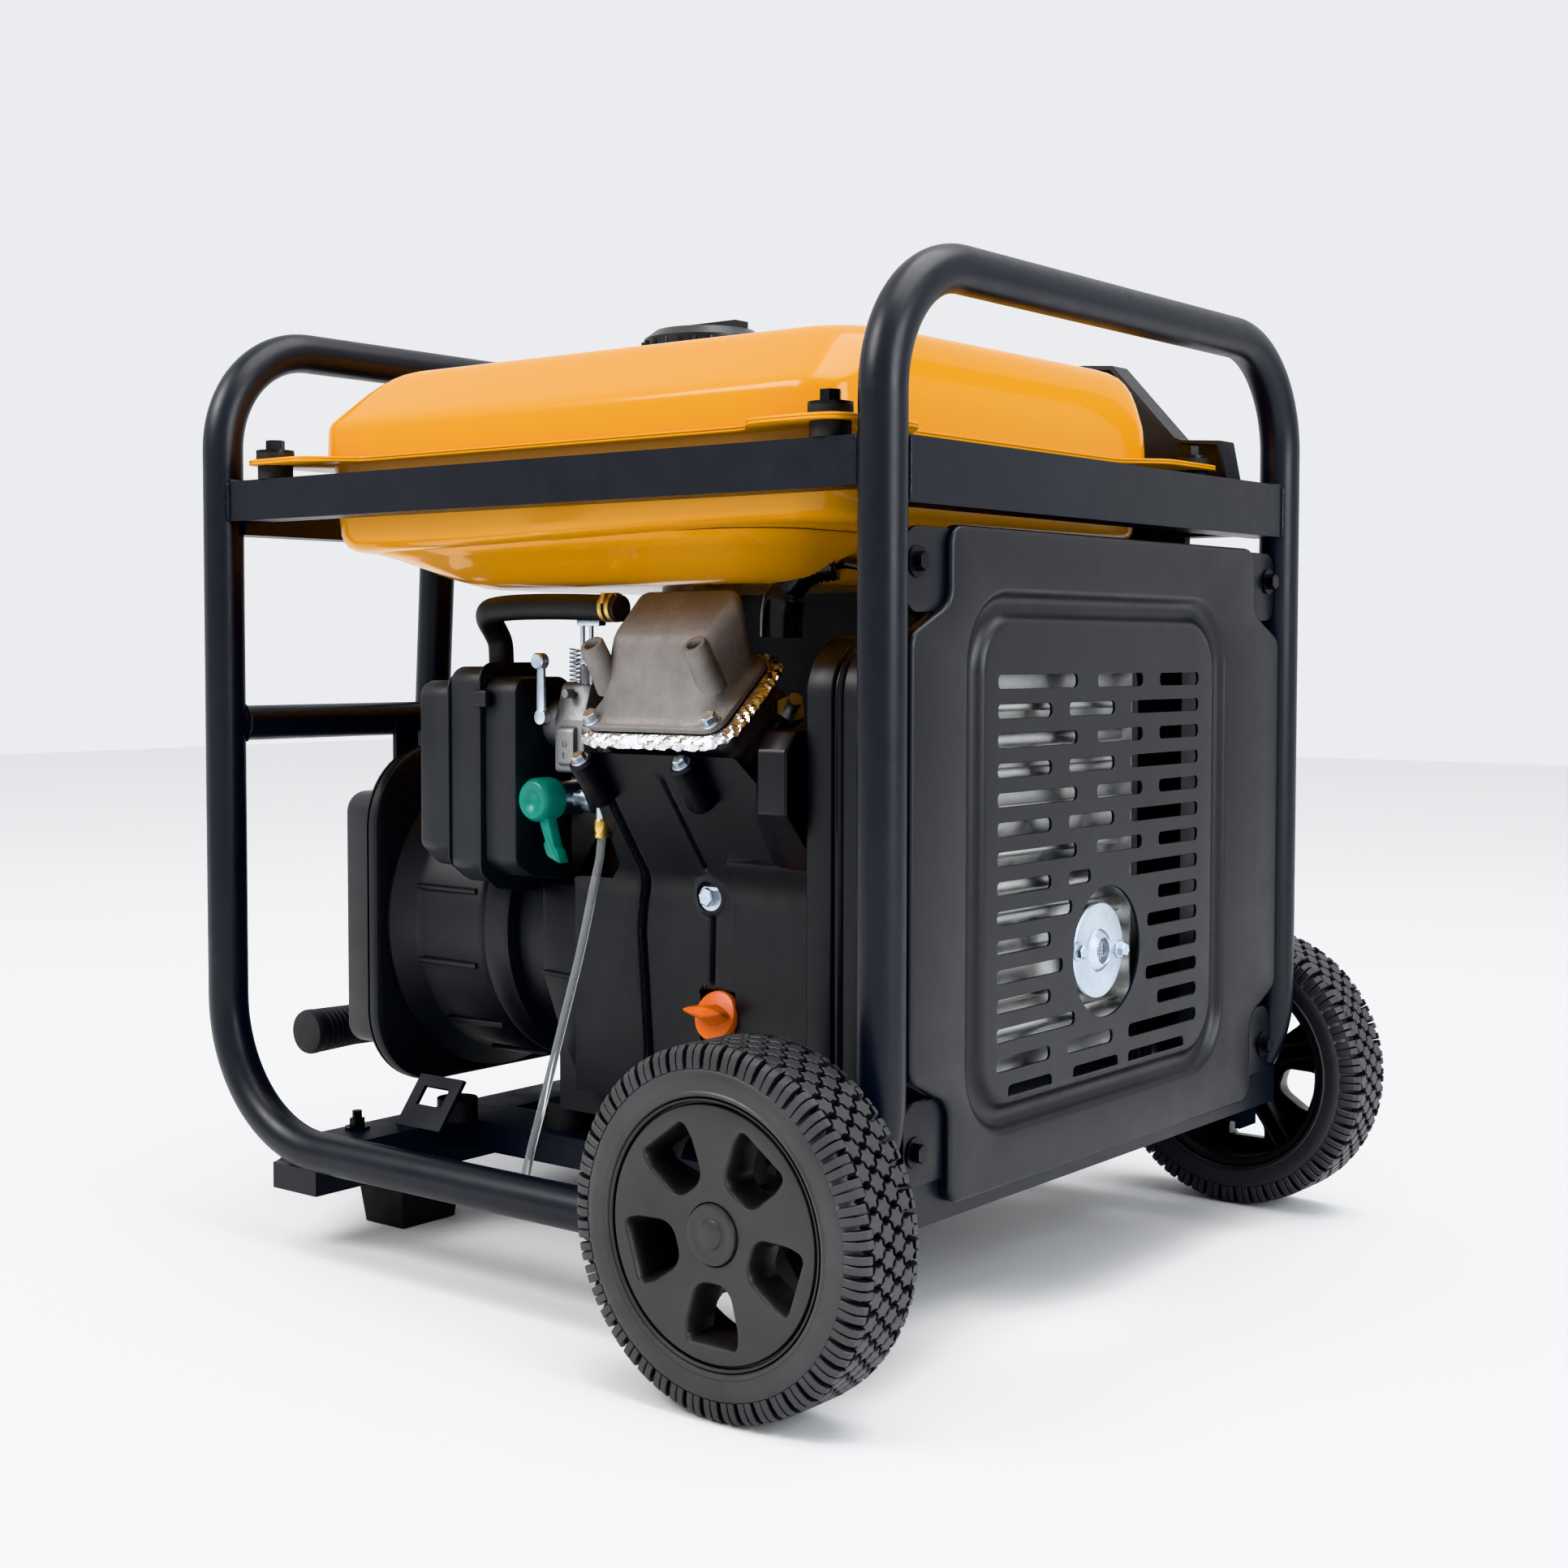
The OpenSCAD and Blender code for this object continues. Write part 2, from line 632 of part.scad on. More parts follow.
module fuel_cap() color("#151515") at_filler() difference() {
  union() {
    translate([0, 0, tank_upper_h + 1]) cylinder(h = 20, d = cap_d);
    translate([0, 0, tank_upper_h + 21]) cylinder(h = 6, d1 = cap_d, d2 = cap_d - 16, $fn = 48);
    translate([-cap_d / 2 + 10, -7, tank_upper_h + 20]) cube([cap_d - 20, 14, 12]);
    for (i = [0:23]) rotate([0, 0, 15 * i]) translate([cap_d / 2, 0, tank_upper_h + 3])
      cylinder(h = 16, d = 4, $fn = 8);
  }
  translate([0, 0, tank_upper_h]) cylinder(h = 16, d = neck_d + 1);
}

// ---------- muffler panel and exhaust ----------

// Two staggered rows of louvres, each given as its three Y spans
module slot_rows() for (i = [0:14]) {
  z = slot_top - i * slot_pitch;
  row = i % 2 == 0 ? [[-141, -50], [-26, 32], [54, 108]] : [[-141, -80], [-60, -4], [16, 108]];
  in = i == 14 ? 13 : 0;
  for (k = [0:2]) translate([panel_x - 15, row[k][0] + (k == 0 ? in : 0), z - slot_h / 2])
    cube([30, row[k][1] - row[k][0] - (k == 1 ? 0 : in), slot_h]);
}

module panel_field(x0, x1, grow) translate([0, 0, panel_cz])
  plate_x(x0, x1, panel_w - grow, panel_h - grow, 12);

module muffler_panel() color("#202226") placed() difference() {
  union() {
    // Raised field
    difference() {
      panel_field(panel_x - 8, panel_x, 0);
      panel_field(panel_x - 12, panel_x - 2, 8);
    }
    // Corner tabs behind the field
    for (sy = [-1, 1], z = lug_z) translate([panel_x - 6.5, sy * 208, z + sign(z - panel_cz) * -4])
      cube([3, 44, 48], center = true);
    // Wings between the corner tabs
    for (sy = [0, 1]) mirror([0, sy, 0]) difference() {
      span([panel_x - 8, -wing_y, lug_z[0] + 32], [panel_x, -panel_w / 2 + 6, lug_z[1] - 32]);
      span([panel_x - 9, -wing_y + 2, lug_z[0] + 34], [panel_x - 2, -panel_w / 2 + 7, lug_z[1] - 34]);
    }
    // Walls of the moulded channel around the louvres
    translate([0, channel_y, channel_z]) difference() {
      plate_x(panel_x - 7, panel_x - 1, channel_w + 4, channel_h + 4, 48);
      plate_x(panel_x - 14, panel_x + 1, channel_w - 46, channel_h - 46, 27);
    }
  }
  translate([0, channel_y, channel_z]) difference() {
    plate_x(panel_x - 5, panel_x + 1, channel_w, channel_h, 46);
    plate_x(panel_x - 14, panel_x + 2, channel_w - 42, channel_h - 42, 29);
  }
  difference() {
    slot_rows();
    translate([panel_x - 20, outlet_y, outlet_z]) rotate([0, 90, 0]) cylinder(h = 40, r = outlet_r + 12);
  }
  translate([panel_x - 20, outlet_y, outlet_z]) rotate([0, 90, 0]) cylinder(h = 30, r = outlet_r);
  for (sy = [-1, 1], z = lug_z)
    translate([panel_x - 20, sy * lug_y, z]) rotate([0, 90, 0]) cylinder(h = 30, d = bolt_d + 1);
}

module frame_bolts() color("#27282b") placed() {
  for (sy = [-1, 1], z = lug_z) translate([panel_x - 5, sy * lug_y, z]) rotate([0, 90, 0]) {
    hex_head(11, 5, 18, 1.5);
    translate([0, 0, -12]) cylinder(h = 12, d = bolt_d);
  }
  base_bolts();
}

module muffler() color("#a9adb0") placed() {
  difference() {
    union() {
      translate([0, muffler_y, muffler_z]) {
        plate_x(muffler_x0, muffler_x1, 190, 280, 30);
        plate_x(muffler_x0 + 20, muffler_x0 + 23, 198, 288, 32);
        for (i = [-5:5]) translate([0, 0, 22 * i]) plate_x(muffler_x1 - 2, muffler_x1 + 3, 150, 10, 4);
      }
      translate([0, outlet_y, outlet_z]) rod_x(muffler_x1 - 2, muffler_x1 + 6, 44);
    }
    translate([0, outlet_y, outlet_z]) rod_x(muffler_x0 + 4, muffler_x1 + 10, 26);
    translate([0, muffler_y, muffler_z]) plate_x(muffler_x0 + 3, muffler_x1 - 3, 184, 274, 28);
  }
  // Pipe from the cylinder head and its flange
  translate([0, pipe_y, pipe_z]) difference() {
    union() {
      rod_x(port_x + 4, muffler_x0 + 1, pipe_d);
      rod_x(port_x + 0.3, port_x + 5, pipe_d + 8);
    }
    rod_x(port_x, muffler_x0 + 4, pipe_d - 5);
  }
}

module spark_arrestor() color("#b9bcc0") placed() translate([0, outlet_y, outlet_z]) difference() {
  union() {
    translate([muffler_x1 + 6, 0, 0]) rotate([90, 0, 90]) linear_extrude(3) hull() {
      circle(r = 31);
      for (s = [-1, 1]) translate([s * 26, s * -2]) circle(r = 8);
    }
    rod_x(muffler_x1 + 9, muffler_x1 + 13, 24);
  }
  rod_x(muffler_x1, muffler_x1 + 20, 17);
  for (s = [-1, 1]) translate([0, s * 26, s * -2]) rod_x(muffler_x1, muffler_x1 + 20, 6);
}

// ---------- engine ----------

// Carries what belongs to the tilted cylinder, standing on the crankshaft
module cylinder_place() placed() translate([cylinder_x, 0, crank_z])
  rotate([cylinder_tilt, 0, 0]) children();

module engine_mounts() color("#141414") placed() {
  for (sy = [-1, 1], x = [-110, 60]) translate([x, sy * base_rail_y, member_top]) difference() {
    cylinder(h = 20, d = 34);
    translate([0, 0, -1]) cylinder(h = 30, d = 8);
  }
  isolator_blocks();
}

module crankcase() color("#6e7276") placed() difference() {
  union() {
    translate([0, 0, crank_z]) rod_x(crankcase_x0, crankcase_x1, 2 * case_r);
    span([crankcase_x0, -104, case_bottom], [crankcase_x1, 104, crank_z - 30]);
    translate([cylinder_x, 0, crank_z]) rotate([cylinder_tilt, 0, 0]) cylinder(h = 104, d = 100);
    translate([0, 0, crank_z]) rod_x(alt_back_x + 0.2, crankcase_x0, 190);
  }
  translate([0, 0, crank_z]) rod_x(crankcase_x0 + 10, crankcase_x1 - 10, 134);
  translate([0, 0, crank_z]) rod_x(alt_back_x - 1, crankcase_x0 - 8, 150);
  translate([0, 0, crank_z]) rod_x(crankcase_x0 - 30, crankcase_x1 + 10, journal_d + 2 * run_gap);
  translate([cylinder_x, 0, crank_z]) rotate([cylinder_tilt, 0, 0]) cylinder(h = 110, d = 70);
  at_oil_filler() translate([0, 0, -30]) cylinder(h = 60, d = oil_d);
}

// Carries what belongs to the oil filler, pointing out of the crankcase
module at_oil_filler() translate([oil_x, oil_y, oil_z]) rotate([90 - oil_up, 0, 0]) children();

module cylinder_head() color("#8d9194") cylinder_place() difference() {
  union() {
    translate([0, 0, 104]) cylinder(h = 66, d = 90);
    for (i = [0:5]) translate([0, 0, 110 + 9 * i]) linear_extrude(3) round_rect(head_w + 4, 92, 14);
    translate([0, 0, 166]) linear_extrude(cover_seat - 166) round_rect(head_w, 66, 10);
    for (i = [0:3]) translate([0, 0, 176 + 10 * i]) linear_extrude(3) round_rect(head_w + 8, 71, 12);
  }
  translate([0, 0, 100]) cylinder(h = 76, d = 70);
  at_plug() {
    cylinder(h = 60, d = 14.2);
    translate([0, 0, 21]) cylinder(h = 60, d = 24);
  }
}

// Carries what belongs to the spark plug, screwed into the head's right flank
// Y and Z of a point across and along the cylinder
function cyl_yz(across, up) = [
  across * cos(cylinder_tilt) - up * sin(cylinder_tilt),
  crank_z + across * sin(cylinder_tilt) + up * cos(cylinder_tilt)
];
module at_plug() translate([plug_x - cylinder_x, 20, 182]) rotate([0, 45, 0]) children();

module valve_cover() color("#a8a29a") cylinder_place() {
  hull() {
    for (p = [[-34, 11.5], [32, 11.5], [-28, 44], [50, 44]])
      translate([p[0], p[1], cover_seat + 47.4]) sphere(r = 6, $fn = soft_fn);
    translate([-2, 2, cover_seat + 4]) linear_extrude(3) round_rect(head_w - 22, 58, 14);
  }
  translate([0, 0, cover_seat + 1]) linear_extrude(4) round_rect(head_w + 4, 72, 11);
  for (x = [-50, 27]) translate([x, 3, cover_seat + 10]) cylinder(h = 41, d = 14);
}

module cover_gasket() color("#c9ccd0") cylinder_place() translate([0, 0, cover_seat])
  linear_extrude(1) round_rect(head_w + 10, 80, 16);

module engine_bolts() color("#7f98a8") {
  cylinder_place() {
    for (x = [-52, 50], y = [-29]) translate([x, y, cover_seat + 5]) hex_head(8, 4, 11, 1);
    for (x = shroud_boss_x) translate([x, shroud_boss_y, 217]) hex_head(8, 4, 11, 1);
  }
  placed() translate([59, face_y, 256]) rotate([90, 0, 0]) hex_head(11, 5, 20, 1.5);
  placed() for (s = [-1, 1]) translate([muffler_x1 + 9, outlet_y + s * 26, outlet_z - s * 2])
    rotate([0, 90, 0]) hex_head(8, 4, 11, 1);
}

module shroud_side(x0, x1, pts) translate([x0, 0, 0]) rotate([90, 0, 90])
  linear_extrude(x1 - x0) polygon(pts);

// Flat piece of the shroud, its outline given in X and Z
module shroud_face(y1, t, pts) translate([0, y1, 0]) rotate([90, 0, 0]) linear_extrude(t) polygon(pts);

// Lower face of the shroud, with the recoil side's raised panel beside it
module shroud_faces() {
  shroud_face(face_y + shroud_t, shroud_t, [
    [-66, 112], [fan_x0 - 2, 112], [fan_x0 - 2, 264], [-8, 264], [-28, 252], [-66, 252]
  ]);
  shroud_face(face_y + 7, 4, [[-64, 110], [-64, 254], [-105, 254], [-103, 187], [-84, 140]]);
  span([82, face_y - 5, 112], [142, face_y + 1, 281]);
}

module shroud() color("#1a1b1e") placed() difference() {
  union() {
    shroud_faces();
    // Flank that runs up to the valve cover
    shroud_side(-8, 120, [cyl_yz(-41.2, 216.6), [face_y, 262], [face_y + 4, 262], [face_y + 3.5, 264],
      cyl_yz(-37.2, 215.9)]);
    // Duct from the fan to the head
    shroud_side(118, fan_x0 - 2, [
      [-168, 318], [-168, 358], [-158, 370], [-112, 370], [-112, 262], [-119, 262], [-150, 300]
    ]);
    translate([cylinder_x, 0, crank_z]) rotate([cylinder_tilt, 0, 0])
      for (x = shroud_boss_x) translate([x, shroud_boss_y, 192]) cylinder(h = 25, d = 18);
    // Raised lines down the near face
    for (x = [-4, 4]) span([x, face_y - 1.5, 130], [x + 2, face_y + 1, 262]);
  }
  // Hollow of the duct, open towards the head and the fan
  shroud_side(117, fan_x0, [
    [-164, 322], [-164, 356], [-156, 366], [-109, 366], [-109, 268], [-118, 268], [-147, 302]
  ]);
  span([48, -130, 111], [88, -113, 195.5]);
  // Clear of the exhaust pipe, the head's fins and the bolt in the flank
  translate([0, pipe_y, pipe_z]) rod_x(port_x - 1, fan_x0, pipe_d + 15);
  translate([cylinder_x, 0, crank_z]) rotate([cylinder_tilt, 0, 0])
    translate([-head_w / 2 - 5, -36, 100]) cube([head_w + 10, 72, cover_seat - 99]);
  translate([59, 0, 256]) rod_y(face_y - 50, face_y, 22);
}

module fan_housing() color("#17181b") placed() difference() {
  union() {
    translate([0, 0, 268]) plate_x(fan_x0, fan_x1, 302, 322, 40);
    translate([0, 0, 268]) plate_x(fan_x0 + 22, fan_x0 + 26, 306, 326, 42);
  }
  translate([0, 0, crank_z]) rod_x(fan_x0 + 4, fan_x1 - 4, 230);
  translate([0, 0, crank_z]) rod_x(fan_x0 - 4, fan_x0 + 8, 60);
  translate([0, pipe_y, pipe_z]) rod_x(fan_x0 - 4, fan_x1 + 4, pipe_d + 4);
  for (i = [0:5]) span([fan_x1 - 6, -60, crank_z - 54 + 20 * i], [fan_x1 + 2, 60, crank_z - 46 + 20 * i]);
}

module spark_plug() color("#c9c9c9") cylinder_place() at_plug() {
  cylinder(h = 22, d = 14);
  translate([0, 0, 22]) cylinder(h = 9, d = 20, $fn = 6);
  translate([0, 0, 31]) cylinder(h = 12, d = 9);
}

// Straight round pieces joined by balls, along a list of places
module swept(path, d) for (i = [0:len(path) - 2]) hull() {
  translate(path[i]) sphere(d = d, $fn = 12);
  translate(path[i + 1]) sphere(d = d, $fn = 12);
}

module plug_boot() color("#131313") placed() swept(boot_path, boot_d);

// Tube through a list of places, one ring of corners at each
function along(p, i) = let(a = p[max(i - 1, 0)], b = p[min(i + 1, len(p) - 1)]) (b - a) / norm(b - a);
function side_of(t) = let(u = cross(t, [0, 1, 0])) u / norm(u);
function ring(p, i, r, n) = let(t = along(p, i), u = side_of(t), v = cross(u, t))
  [for (k = [0:n - 1]) p[i] + r * (cos(360 * k / n) * u + sin(360 * k / n) * v)];

module tube_along(path, d, n) {
  m = len(path);
  points = [for (i = [0:m - 1]) each ring(path, i, d / 2, n)];
  walls = [for (i = [0:m - 2], k = [0:n - 1], half = [0, 1]) half == 0
    ? [i * n + k, i * n + (k + 1) % n, (i + 1) * n + (k + 1) % n]
    : [i * n + k, (i + 1) * n + (k + 1) % n, (i + 1) * n + k]];
  caps = [[for (k = [n - 1:-1:0]) k], [for (k = [0:n - 1]) (m - 1) * n + k]];
  polyhedron(points = points, faces = concat(walls, caps));
}

module ignition_lead() color("#141414") placed() tube_along(lead_path, lead_d, 10);

module carburettor() color("#8b8e92") placed() difference() {
  union() {
    translate([-44, carb_y, carb_z]) cube([30, 60, 66], center = true);
    translate([0, carb_y, carb_z]) rod_x(filter_x[3] + 2.2, -8, 34);
    translate([-50, carb_y - 2, 338]) cylinder(h = 26, d = 46);
    translate([-50, carb_y - 2, 330]) cylinder(h = 10, d = 12);
    translate([-38, carb_y - 18, carb_z + 30]) cylinder(h = 30, d = 10);
    translate([-38, carb_y - 18, carb_z + 44]) cylinder(h = 3, d = 22);
    span([-12, carb_y - 26, carb_z - 24], [-6, carb_y + 26, carb_z + 24]);
  }
  translate([0, carb_y, carb_z]) rod_x(-90, 0, 24);
}

module choke_lever() color("#b9bcc0") placed() translate([-62, carb_y - 33, carb_z + 6]) {
  rod_y(-7, -0.3, 12);
  translate([0, 0, 0]) span([-4, -6, 0], [4, -3, 38]);
  translate([0, 0, 38]) rod_y(-10, -2, 12);
}

module air_filter_case() color("#222427") placed() difference() {
  union() {
    translate([0, filter_cy, filter_z]) plate_x(filter_x[2], filter_x[3], filter_w - 2, 138, 10);
    translate([0, carb_y, carb_z]) rod_x(filter_x[3], filter_x[3] + 2, 34);
  }
  translate([0, filter_cy, filter_z]) plate_x(filter_x[2] - 1, filter_x[3] - 4, filter_w - 10, 130, 7);
  translate([0, carb_y, carb_z]) rod_x(filter_x[3] - 10, filter_x[3] + 4, 24);
}

module air_filter_cover() color("#1e2023") placed() {
  difference() {
    union() {
      translate([0, filter_cy, filter_z]) plate_x(filter_x[1], filter_x[2], filter_w, 154, 12);
      translate([0, filter_cy, filter_z]) plate_x(filter_x[0], filter_x[1], filter_w - 4, 134, 12);
    }
    translate([0, filter_cy, filter_z]) plate_x(filter_x[0] + 4, filter_x[2] + 1, filter_w - 12, 126, 8);
  }
}

module breather_hose() color("#1b1b1b") placed() tube_along(hose_path, hose_d, 12);

module fuel_valve() color("#9aa0a4") placed() {
  translate([valve_x, valve_y, valve_z]) rod_y(0, 26, 24);
  translate([0, valve_y + 14, valve_z]) rod_x(valve_x, -12, 12);
  for (x = [-46, -32, -22]) translate([0, valve_y + 14, valve_z]) rod_x(x, x + 7, 19);
  translate([spout_x, -141, 302]) cylinder(h = 16, d = spout_d);
  translate([-38, carb_y, 318]) cylinder(h = 14, d = 10);
}

module fuel_lever() color("#0c8f7c") placed() translate([valve_x, valve_y, valve_z]) {
  rod_y(-18, -0.3, 30);
  rod_y(-20, -18, 22);
  rotate([0, -20, 0]) {
    span([-6, -14, -lever_l], [6, -5, -8]);
    span([-7.5, -15, -lever_l], [7.5, -4, -32]);
  }
}

module drain_tube() color("#cfd6da") placed()
  tube_along([for (p = drain_path) p + [0, 0, -1.2]], drain_d, 8);

module oil_cap() color("#e8761a") placed() at_oil_filler() {
  translate([0, 0, -12]) cylinder(h = 30, d = oil_d - 2 * run_gap);
  translate([0, 0, 16]) cylinder(h = 7, d = 34);
  hull() for (x = [-13, 13]) translate([x, 0, 21]) cylinder(h = 16, d = 8);
}

module crankshaft() color("#5f6468") placed() translate([0, 0, crank_z]) {
  rod_x(alt_flange_x + 12, fan_x1 - 24, journal_d);
  for (x = [cylinder_x - 24, cylinder_x + 10]) rod_x(x, x + 14, 2 * web_r);
  translate([0, 0, 30]) rod_x(cylinder_x - 24, cylinder_x + 24, 26);
  // Rotor on the alternator's end
  rod_x(alt_flange_x + 30, alt_flange_x + 106, 110);
  // Flywheel with cooling fins
  rod_x(fan_x0 + 14, fan_x0 + 26, 200);
  for (i = [0:11]) rotate([30 * i, 0, 0]) span([fan_x0 + 26, 50, -2], [fan_x1 - 12, 94, 2]);
}

module stator() color("#b87333") placed() translate([0, 0, crank_z]) difference() {
  rod_x(alt_flange_x + 34, alt_flange_x + 102, 187);
  rod_x(alt_flange_x + 30, alt_flange_x + 110, 114);
  for (i = [0:17]) rotate([20 * i, 0, 0]) span([alt_flange_x + 30, -4, 55], [alt_flange_x + 110, 4, 80]);
}

module alternator_housing() color("#1f2124") placed() difference() {
  union() {
    translate([0, 0, crank_z + 3])
      plate_x(alt_flange_x - 2, alt_flange_x + 10, alternator_size, alternator_size, 62);
    translate([0, 0, crank_z]) rod_x(alt_flange_x + 10, alt_back_x, alt_body);
  }
  translate([0, 0, crank_z]) rod_x(alt_flange_x - 4, alt_back_x - alt_wall, alt_body - 2 * alt_wall);
  translate([0, 0, crank_z]) rod_x(alt_back_x - 20, alt_back_x + 4, journal_d + 4);
}

module alternator_cover() color("#26282b") placed() difference() {
  union() {
    translate([0, 0, crank_z + 3])
      plate_x(alt_flange_x - 5, alt_flange_x - 2, alternator_size, alternator_size, 62);
    translate([0, 0, crank_z + 2]) plate_x(alt_flange_x - 30, alt_flange_x - 5, cover_w, cover_h, 16);
  }
  translate([0, 0, crank_z + 2]) plate_x(alt_flange_x - 27, alt_flange_x - 1, cover_w - 6, cover_h - 6, 13);
  translate([0, grip_y, grip_z]) rod_x(alt_flange_x - 40, alt_flange_x - 1, 9);
  for (i = [-3:3]) translate([alt_flange_x - 40, -60, crank_z + 16 * i - 3]) cube([20, 80, 6]);
}

module starter_grip() color("#161616") placed() translate([0, grip_y, grip_z]) {
  rod_x(alt_flange_x - 50, alt_back_x - 8, rope_d);
  translate([alt_flange_x - 50, 0, 0]) rotate([90, 0, 0])
    linear_extrude(90, center = true) polygon([[-4, -10], [-12, 0], [-4, 10], [12, 8], [16, 0], [12, -8]]);
}

// ---------- controls ----------

module control_panel() color("#24262a") placed() difference() {
  union() {
    span([-control_l / 2, control_y - control_t, control_z0],
         [control_l / 2, control_y, control_z0 + control_h]);
    translate([0, hood_y, hood_z]) rotate([90, 0, 0]) linear_extrude(hood_t) polygon(hood_path);
    span([-140, hood_y - hood_t, control_z0 + control_h - 1],
         [control_l / 2, hood_y - hood_t + 8, hood_z + 1]);
  }
  span([-control_l / 2 + 3, control_y - control_t - 1, control_z0 + 3],
       [control_l / 2 - 3, control_y - 3, control_z0 + control_h - 3]);
  translate([0, hood_y - 3, hood_z]) rotate([90, 0, 0]) linear_extrude(hood_t) polygon(hood_inside);
  translate([breaker_x, control_y, breaker_z]) rod_y(-10, 5, breaker_d + 2 * run_gap);
  span([switch_x - switch_w / 2 - 1, control_y - 10, switch_z - switch_h / 2 - 1],
       [switch_x + switch_w / 2 + 1, control_y + 5, switch_z + switch_h / 2 + 1]);
}

module outlets() color("#2d2f33") placed() {
  for (x = [-160, -90]) translate([x, control_y, 250]) difference() {
    span([-28, 0, -48], [28, 5, 48]);
    for (z = [-22, 22]) for (dx = [-7, 7]) span([dx - 1.5, 1, z - 5], [dx + 1.5, 9, z + 5]);
    for (z = [-22, 22]) translate([0, 0, z - 13]) rod_y(1, 9, 5);
  }
  for (x = [-10, 70]) translate([x, control_y, 230]) difference() {
    rod_y(0, 7, 56);
    for (a = [0, 120, 240]) rotate([0, a, 0]) span([-5, 1, 13], [5, 9, 16]);
  }
}

module breaker_button() color("#c8322b") placed() translate([breaker_x, control_y, breaker_z]) {
  rod_y(-12, 6, breaker_d);
  rod_y(-14, -12, breaker_d + 4);
}

module engine_switch() color("#b3261e") placed() translate([switch_x, control_y - 2, switch_z]) {
  translate([-switch_w / 2, -3, -switch_h / 2]) cube([switch_w, 6, switch_h]);
  rod_x(-switch_w / 2, switch_w / 2, 10);
}

module inverter() color("#8f9396") placed() difference() {
  span([-166, 128, 84], [-8, 190, 190]);
  for (i = [0:12]) span([-160 + 12 * i, 150, 100], [-154 + 12 * i, 200, 191]);
}

hoop_wheel_end();
hoop_handle_end();
bottom_rails();
side_rails();
end_rails();
cross_tube();
base_frame();
feet();
axle_brackets();
axle_bolts();
tyre_near();
rim_near();
hub_cap_near();
tyre_far();
rim_far();
hub_cap_far();
handle_bracket();
handle_pin();
handle_stem();
handle_grips();
tank_upper();
tank_lower();
tank_mounts();
tank_bolts();
filler_neck();
fuel_cap();
muffler_panel();
frame_bolts();
muffler();
spark_arrestor();
engine_mounts();
crankcase();
cylinder_head();
valve_cover();
cover_gasket();
engine_bolts();
shroud();
fan_housing();
spark_plug();
plug_boot();
ignition_lead();
carburettor();
choke_lever();
air_filter_case();
air_filter_cover();
breather_hose();
fuel_valve();
fuel_lever();
drain_tube();
oil_cap();
crankshaft();
stator();
alternator_housing();
alternator_cover();
starter_grip();
control_panel();
outlets();
breaker_button();
engine_switch();
inverter();
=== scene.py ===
"""Looks of the portable generator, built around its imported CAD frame. Metres, +Z up."""

import math
import random
import json

import bpy
import bmesh
from mathutils import Matrix, Vector, geometry


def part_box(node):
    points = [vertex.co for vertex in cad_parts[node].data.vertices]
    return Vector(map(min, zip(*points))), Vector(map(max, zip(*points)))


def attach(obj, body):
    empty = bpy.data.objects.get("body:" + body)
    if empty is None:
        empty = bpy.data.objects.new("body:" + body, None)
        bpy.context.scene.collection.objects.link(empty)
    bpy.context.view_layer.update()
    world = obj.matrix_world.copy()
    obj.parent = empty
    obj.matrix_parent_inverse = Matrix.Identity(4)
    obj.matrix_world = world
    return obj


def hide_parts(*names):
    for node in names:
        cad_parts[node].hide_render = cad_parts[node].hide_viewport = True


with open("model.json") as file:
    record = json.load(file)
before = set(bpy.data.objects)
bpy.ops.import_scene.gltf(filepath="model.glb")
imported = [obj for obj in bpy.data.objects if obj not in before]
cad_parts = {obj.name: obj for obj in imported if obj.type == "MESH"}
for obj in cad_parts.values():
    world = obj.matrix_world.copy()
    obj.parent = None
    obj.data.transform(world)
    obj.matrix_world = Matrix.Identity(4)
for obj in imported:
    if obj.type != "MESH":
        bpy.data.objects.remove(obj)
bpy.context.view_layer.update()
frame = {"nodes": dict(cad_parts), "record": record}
nodes = frame["nodes"]

MM = 0.001


# ---------- places, all worked out from the frame ----------


def middle(node):
    """Middle of a CAD node's box."""
    low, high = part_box(node)
    return (low + high) / 2


WHEEL_HOOP = middle("hoop_wheel_end")
HANDLE_HOOP = middle("hoop_handle_end")
FRAME_X = (WHEEL_HOOP.x + HANDLE_HOOP.x) / 2


# ---------- camera ----------

CAMERA_FROM_FRAME = Vector((0.9889, -1.2193, 0.4179))
CAMERA_TURN = math.radians(38.305)
CAMERA_DOWN = math.radians(2.598)
CAMERA_ROLL = math.radians(0.07)
LENS = 50.03
SHIFT_Y = -0.0206


def make_camera():
    data = bpy.data.cameras.new("camera")
    data.lens = LENS
    data.sensor_width = 36.0
    data.shift_y = SHIFT_Y
    data.clip_start = 0.01
    data.clip_end = 50.0
    camera = bpy.data.objects.new("camera", data)
    bpy.context.scene.collection.objects.link(camera)
    camera.location = CAMERA_FROM_FRAME + Vector((FRAME_X, 0, 0))
    turn = Matrix.Rotation(CAMERA_TURN, 4, "Z")
    tilt = Matrix.Rotation(math.pi / 2 - CAMERA_DOWN, 4, "X")
    roll = Matrix.Rotation(CAMERA_ROLL, 4, "Z")
    camera.matrix_world = Matrix.Translation(camera.location) @ turn @ tilt @ roll
    bpy.context.scene.camera = camera


make_camera()


# ---------- cords ----------

# The clear drain tube's route from the frame's centre, in millimetres, as in the CAD source
DRAIN_ROUTE = [
    (-20, -141, 301.8), (-20, -141, 292.8), (-21, -142, 278.8), (-24, -145, 258.8),
    (-27, -149, 233.8), (-30, -154, 208.8), (-33, -160, 183.8), (-36, -166, 158.8),
    (-39, -172, 133.8), (-42, -178, 108.8), (-45, -184, 84.8), (-47, -189, 62.8),
]
DRAIN_DIAMETER = 0.006


def route_length(points):
    return sum((b - a).length for a, b in zip(points, points[1:]))


# ---------- material nodes ----------


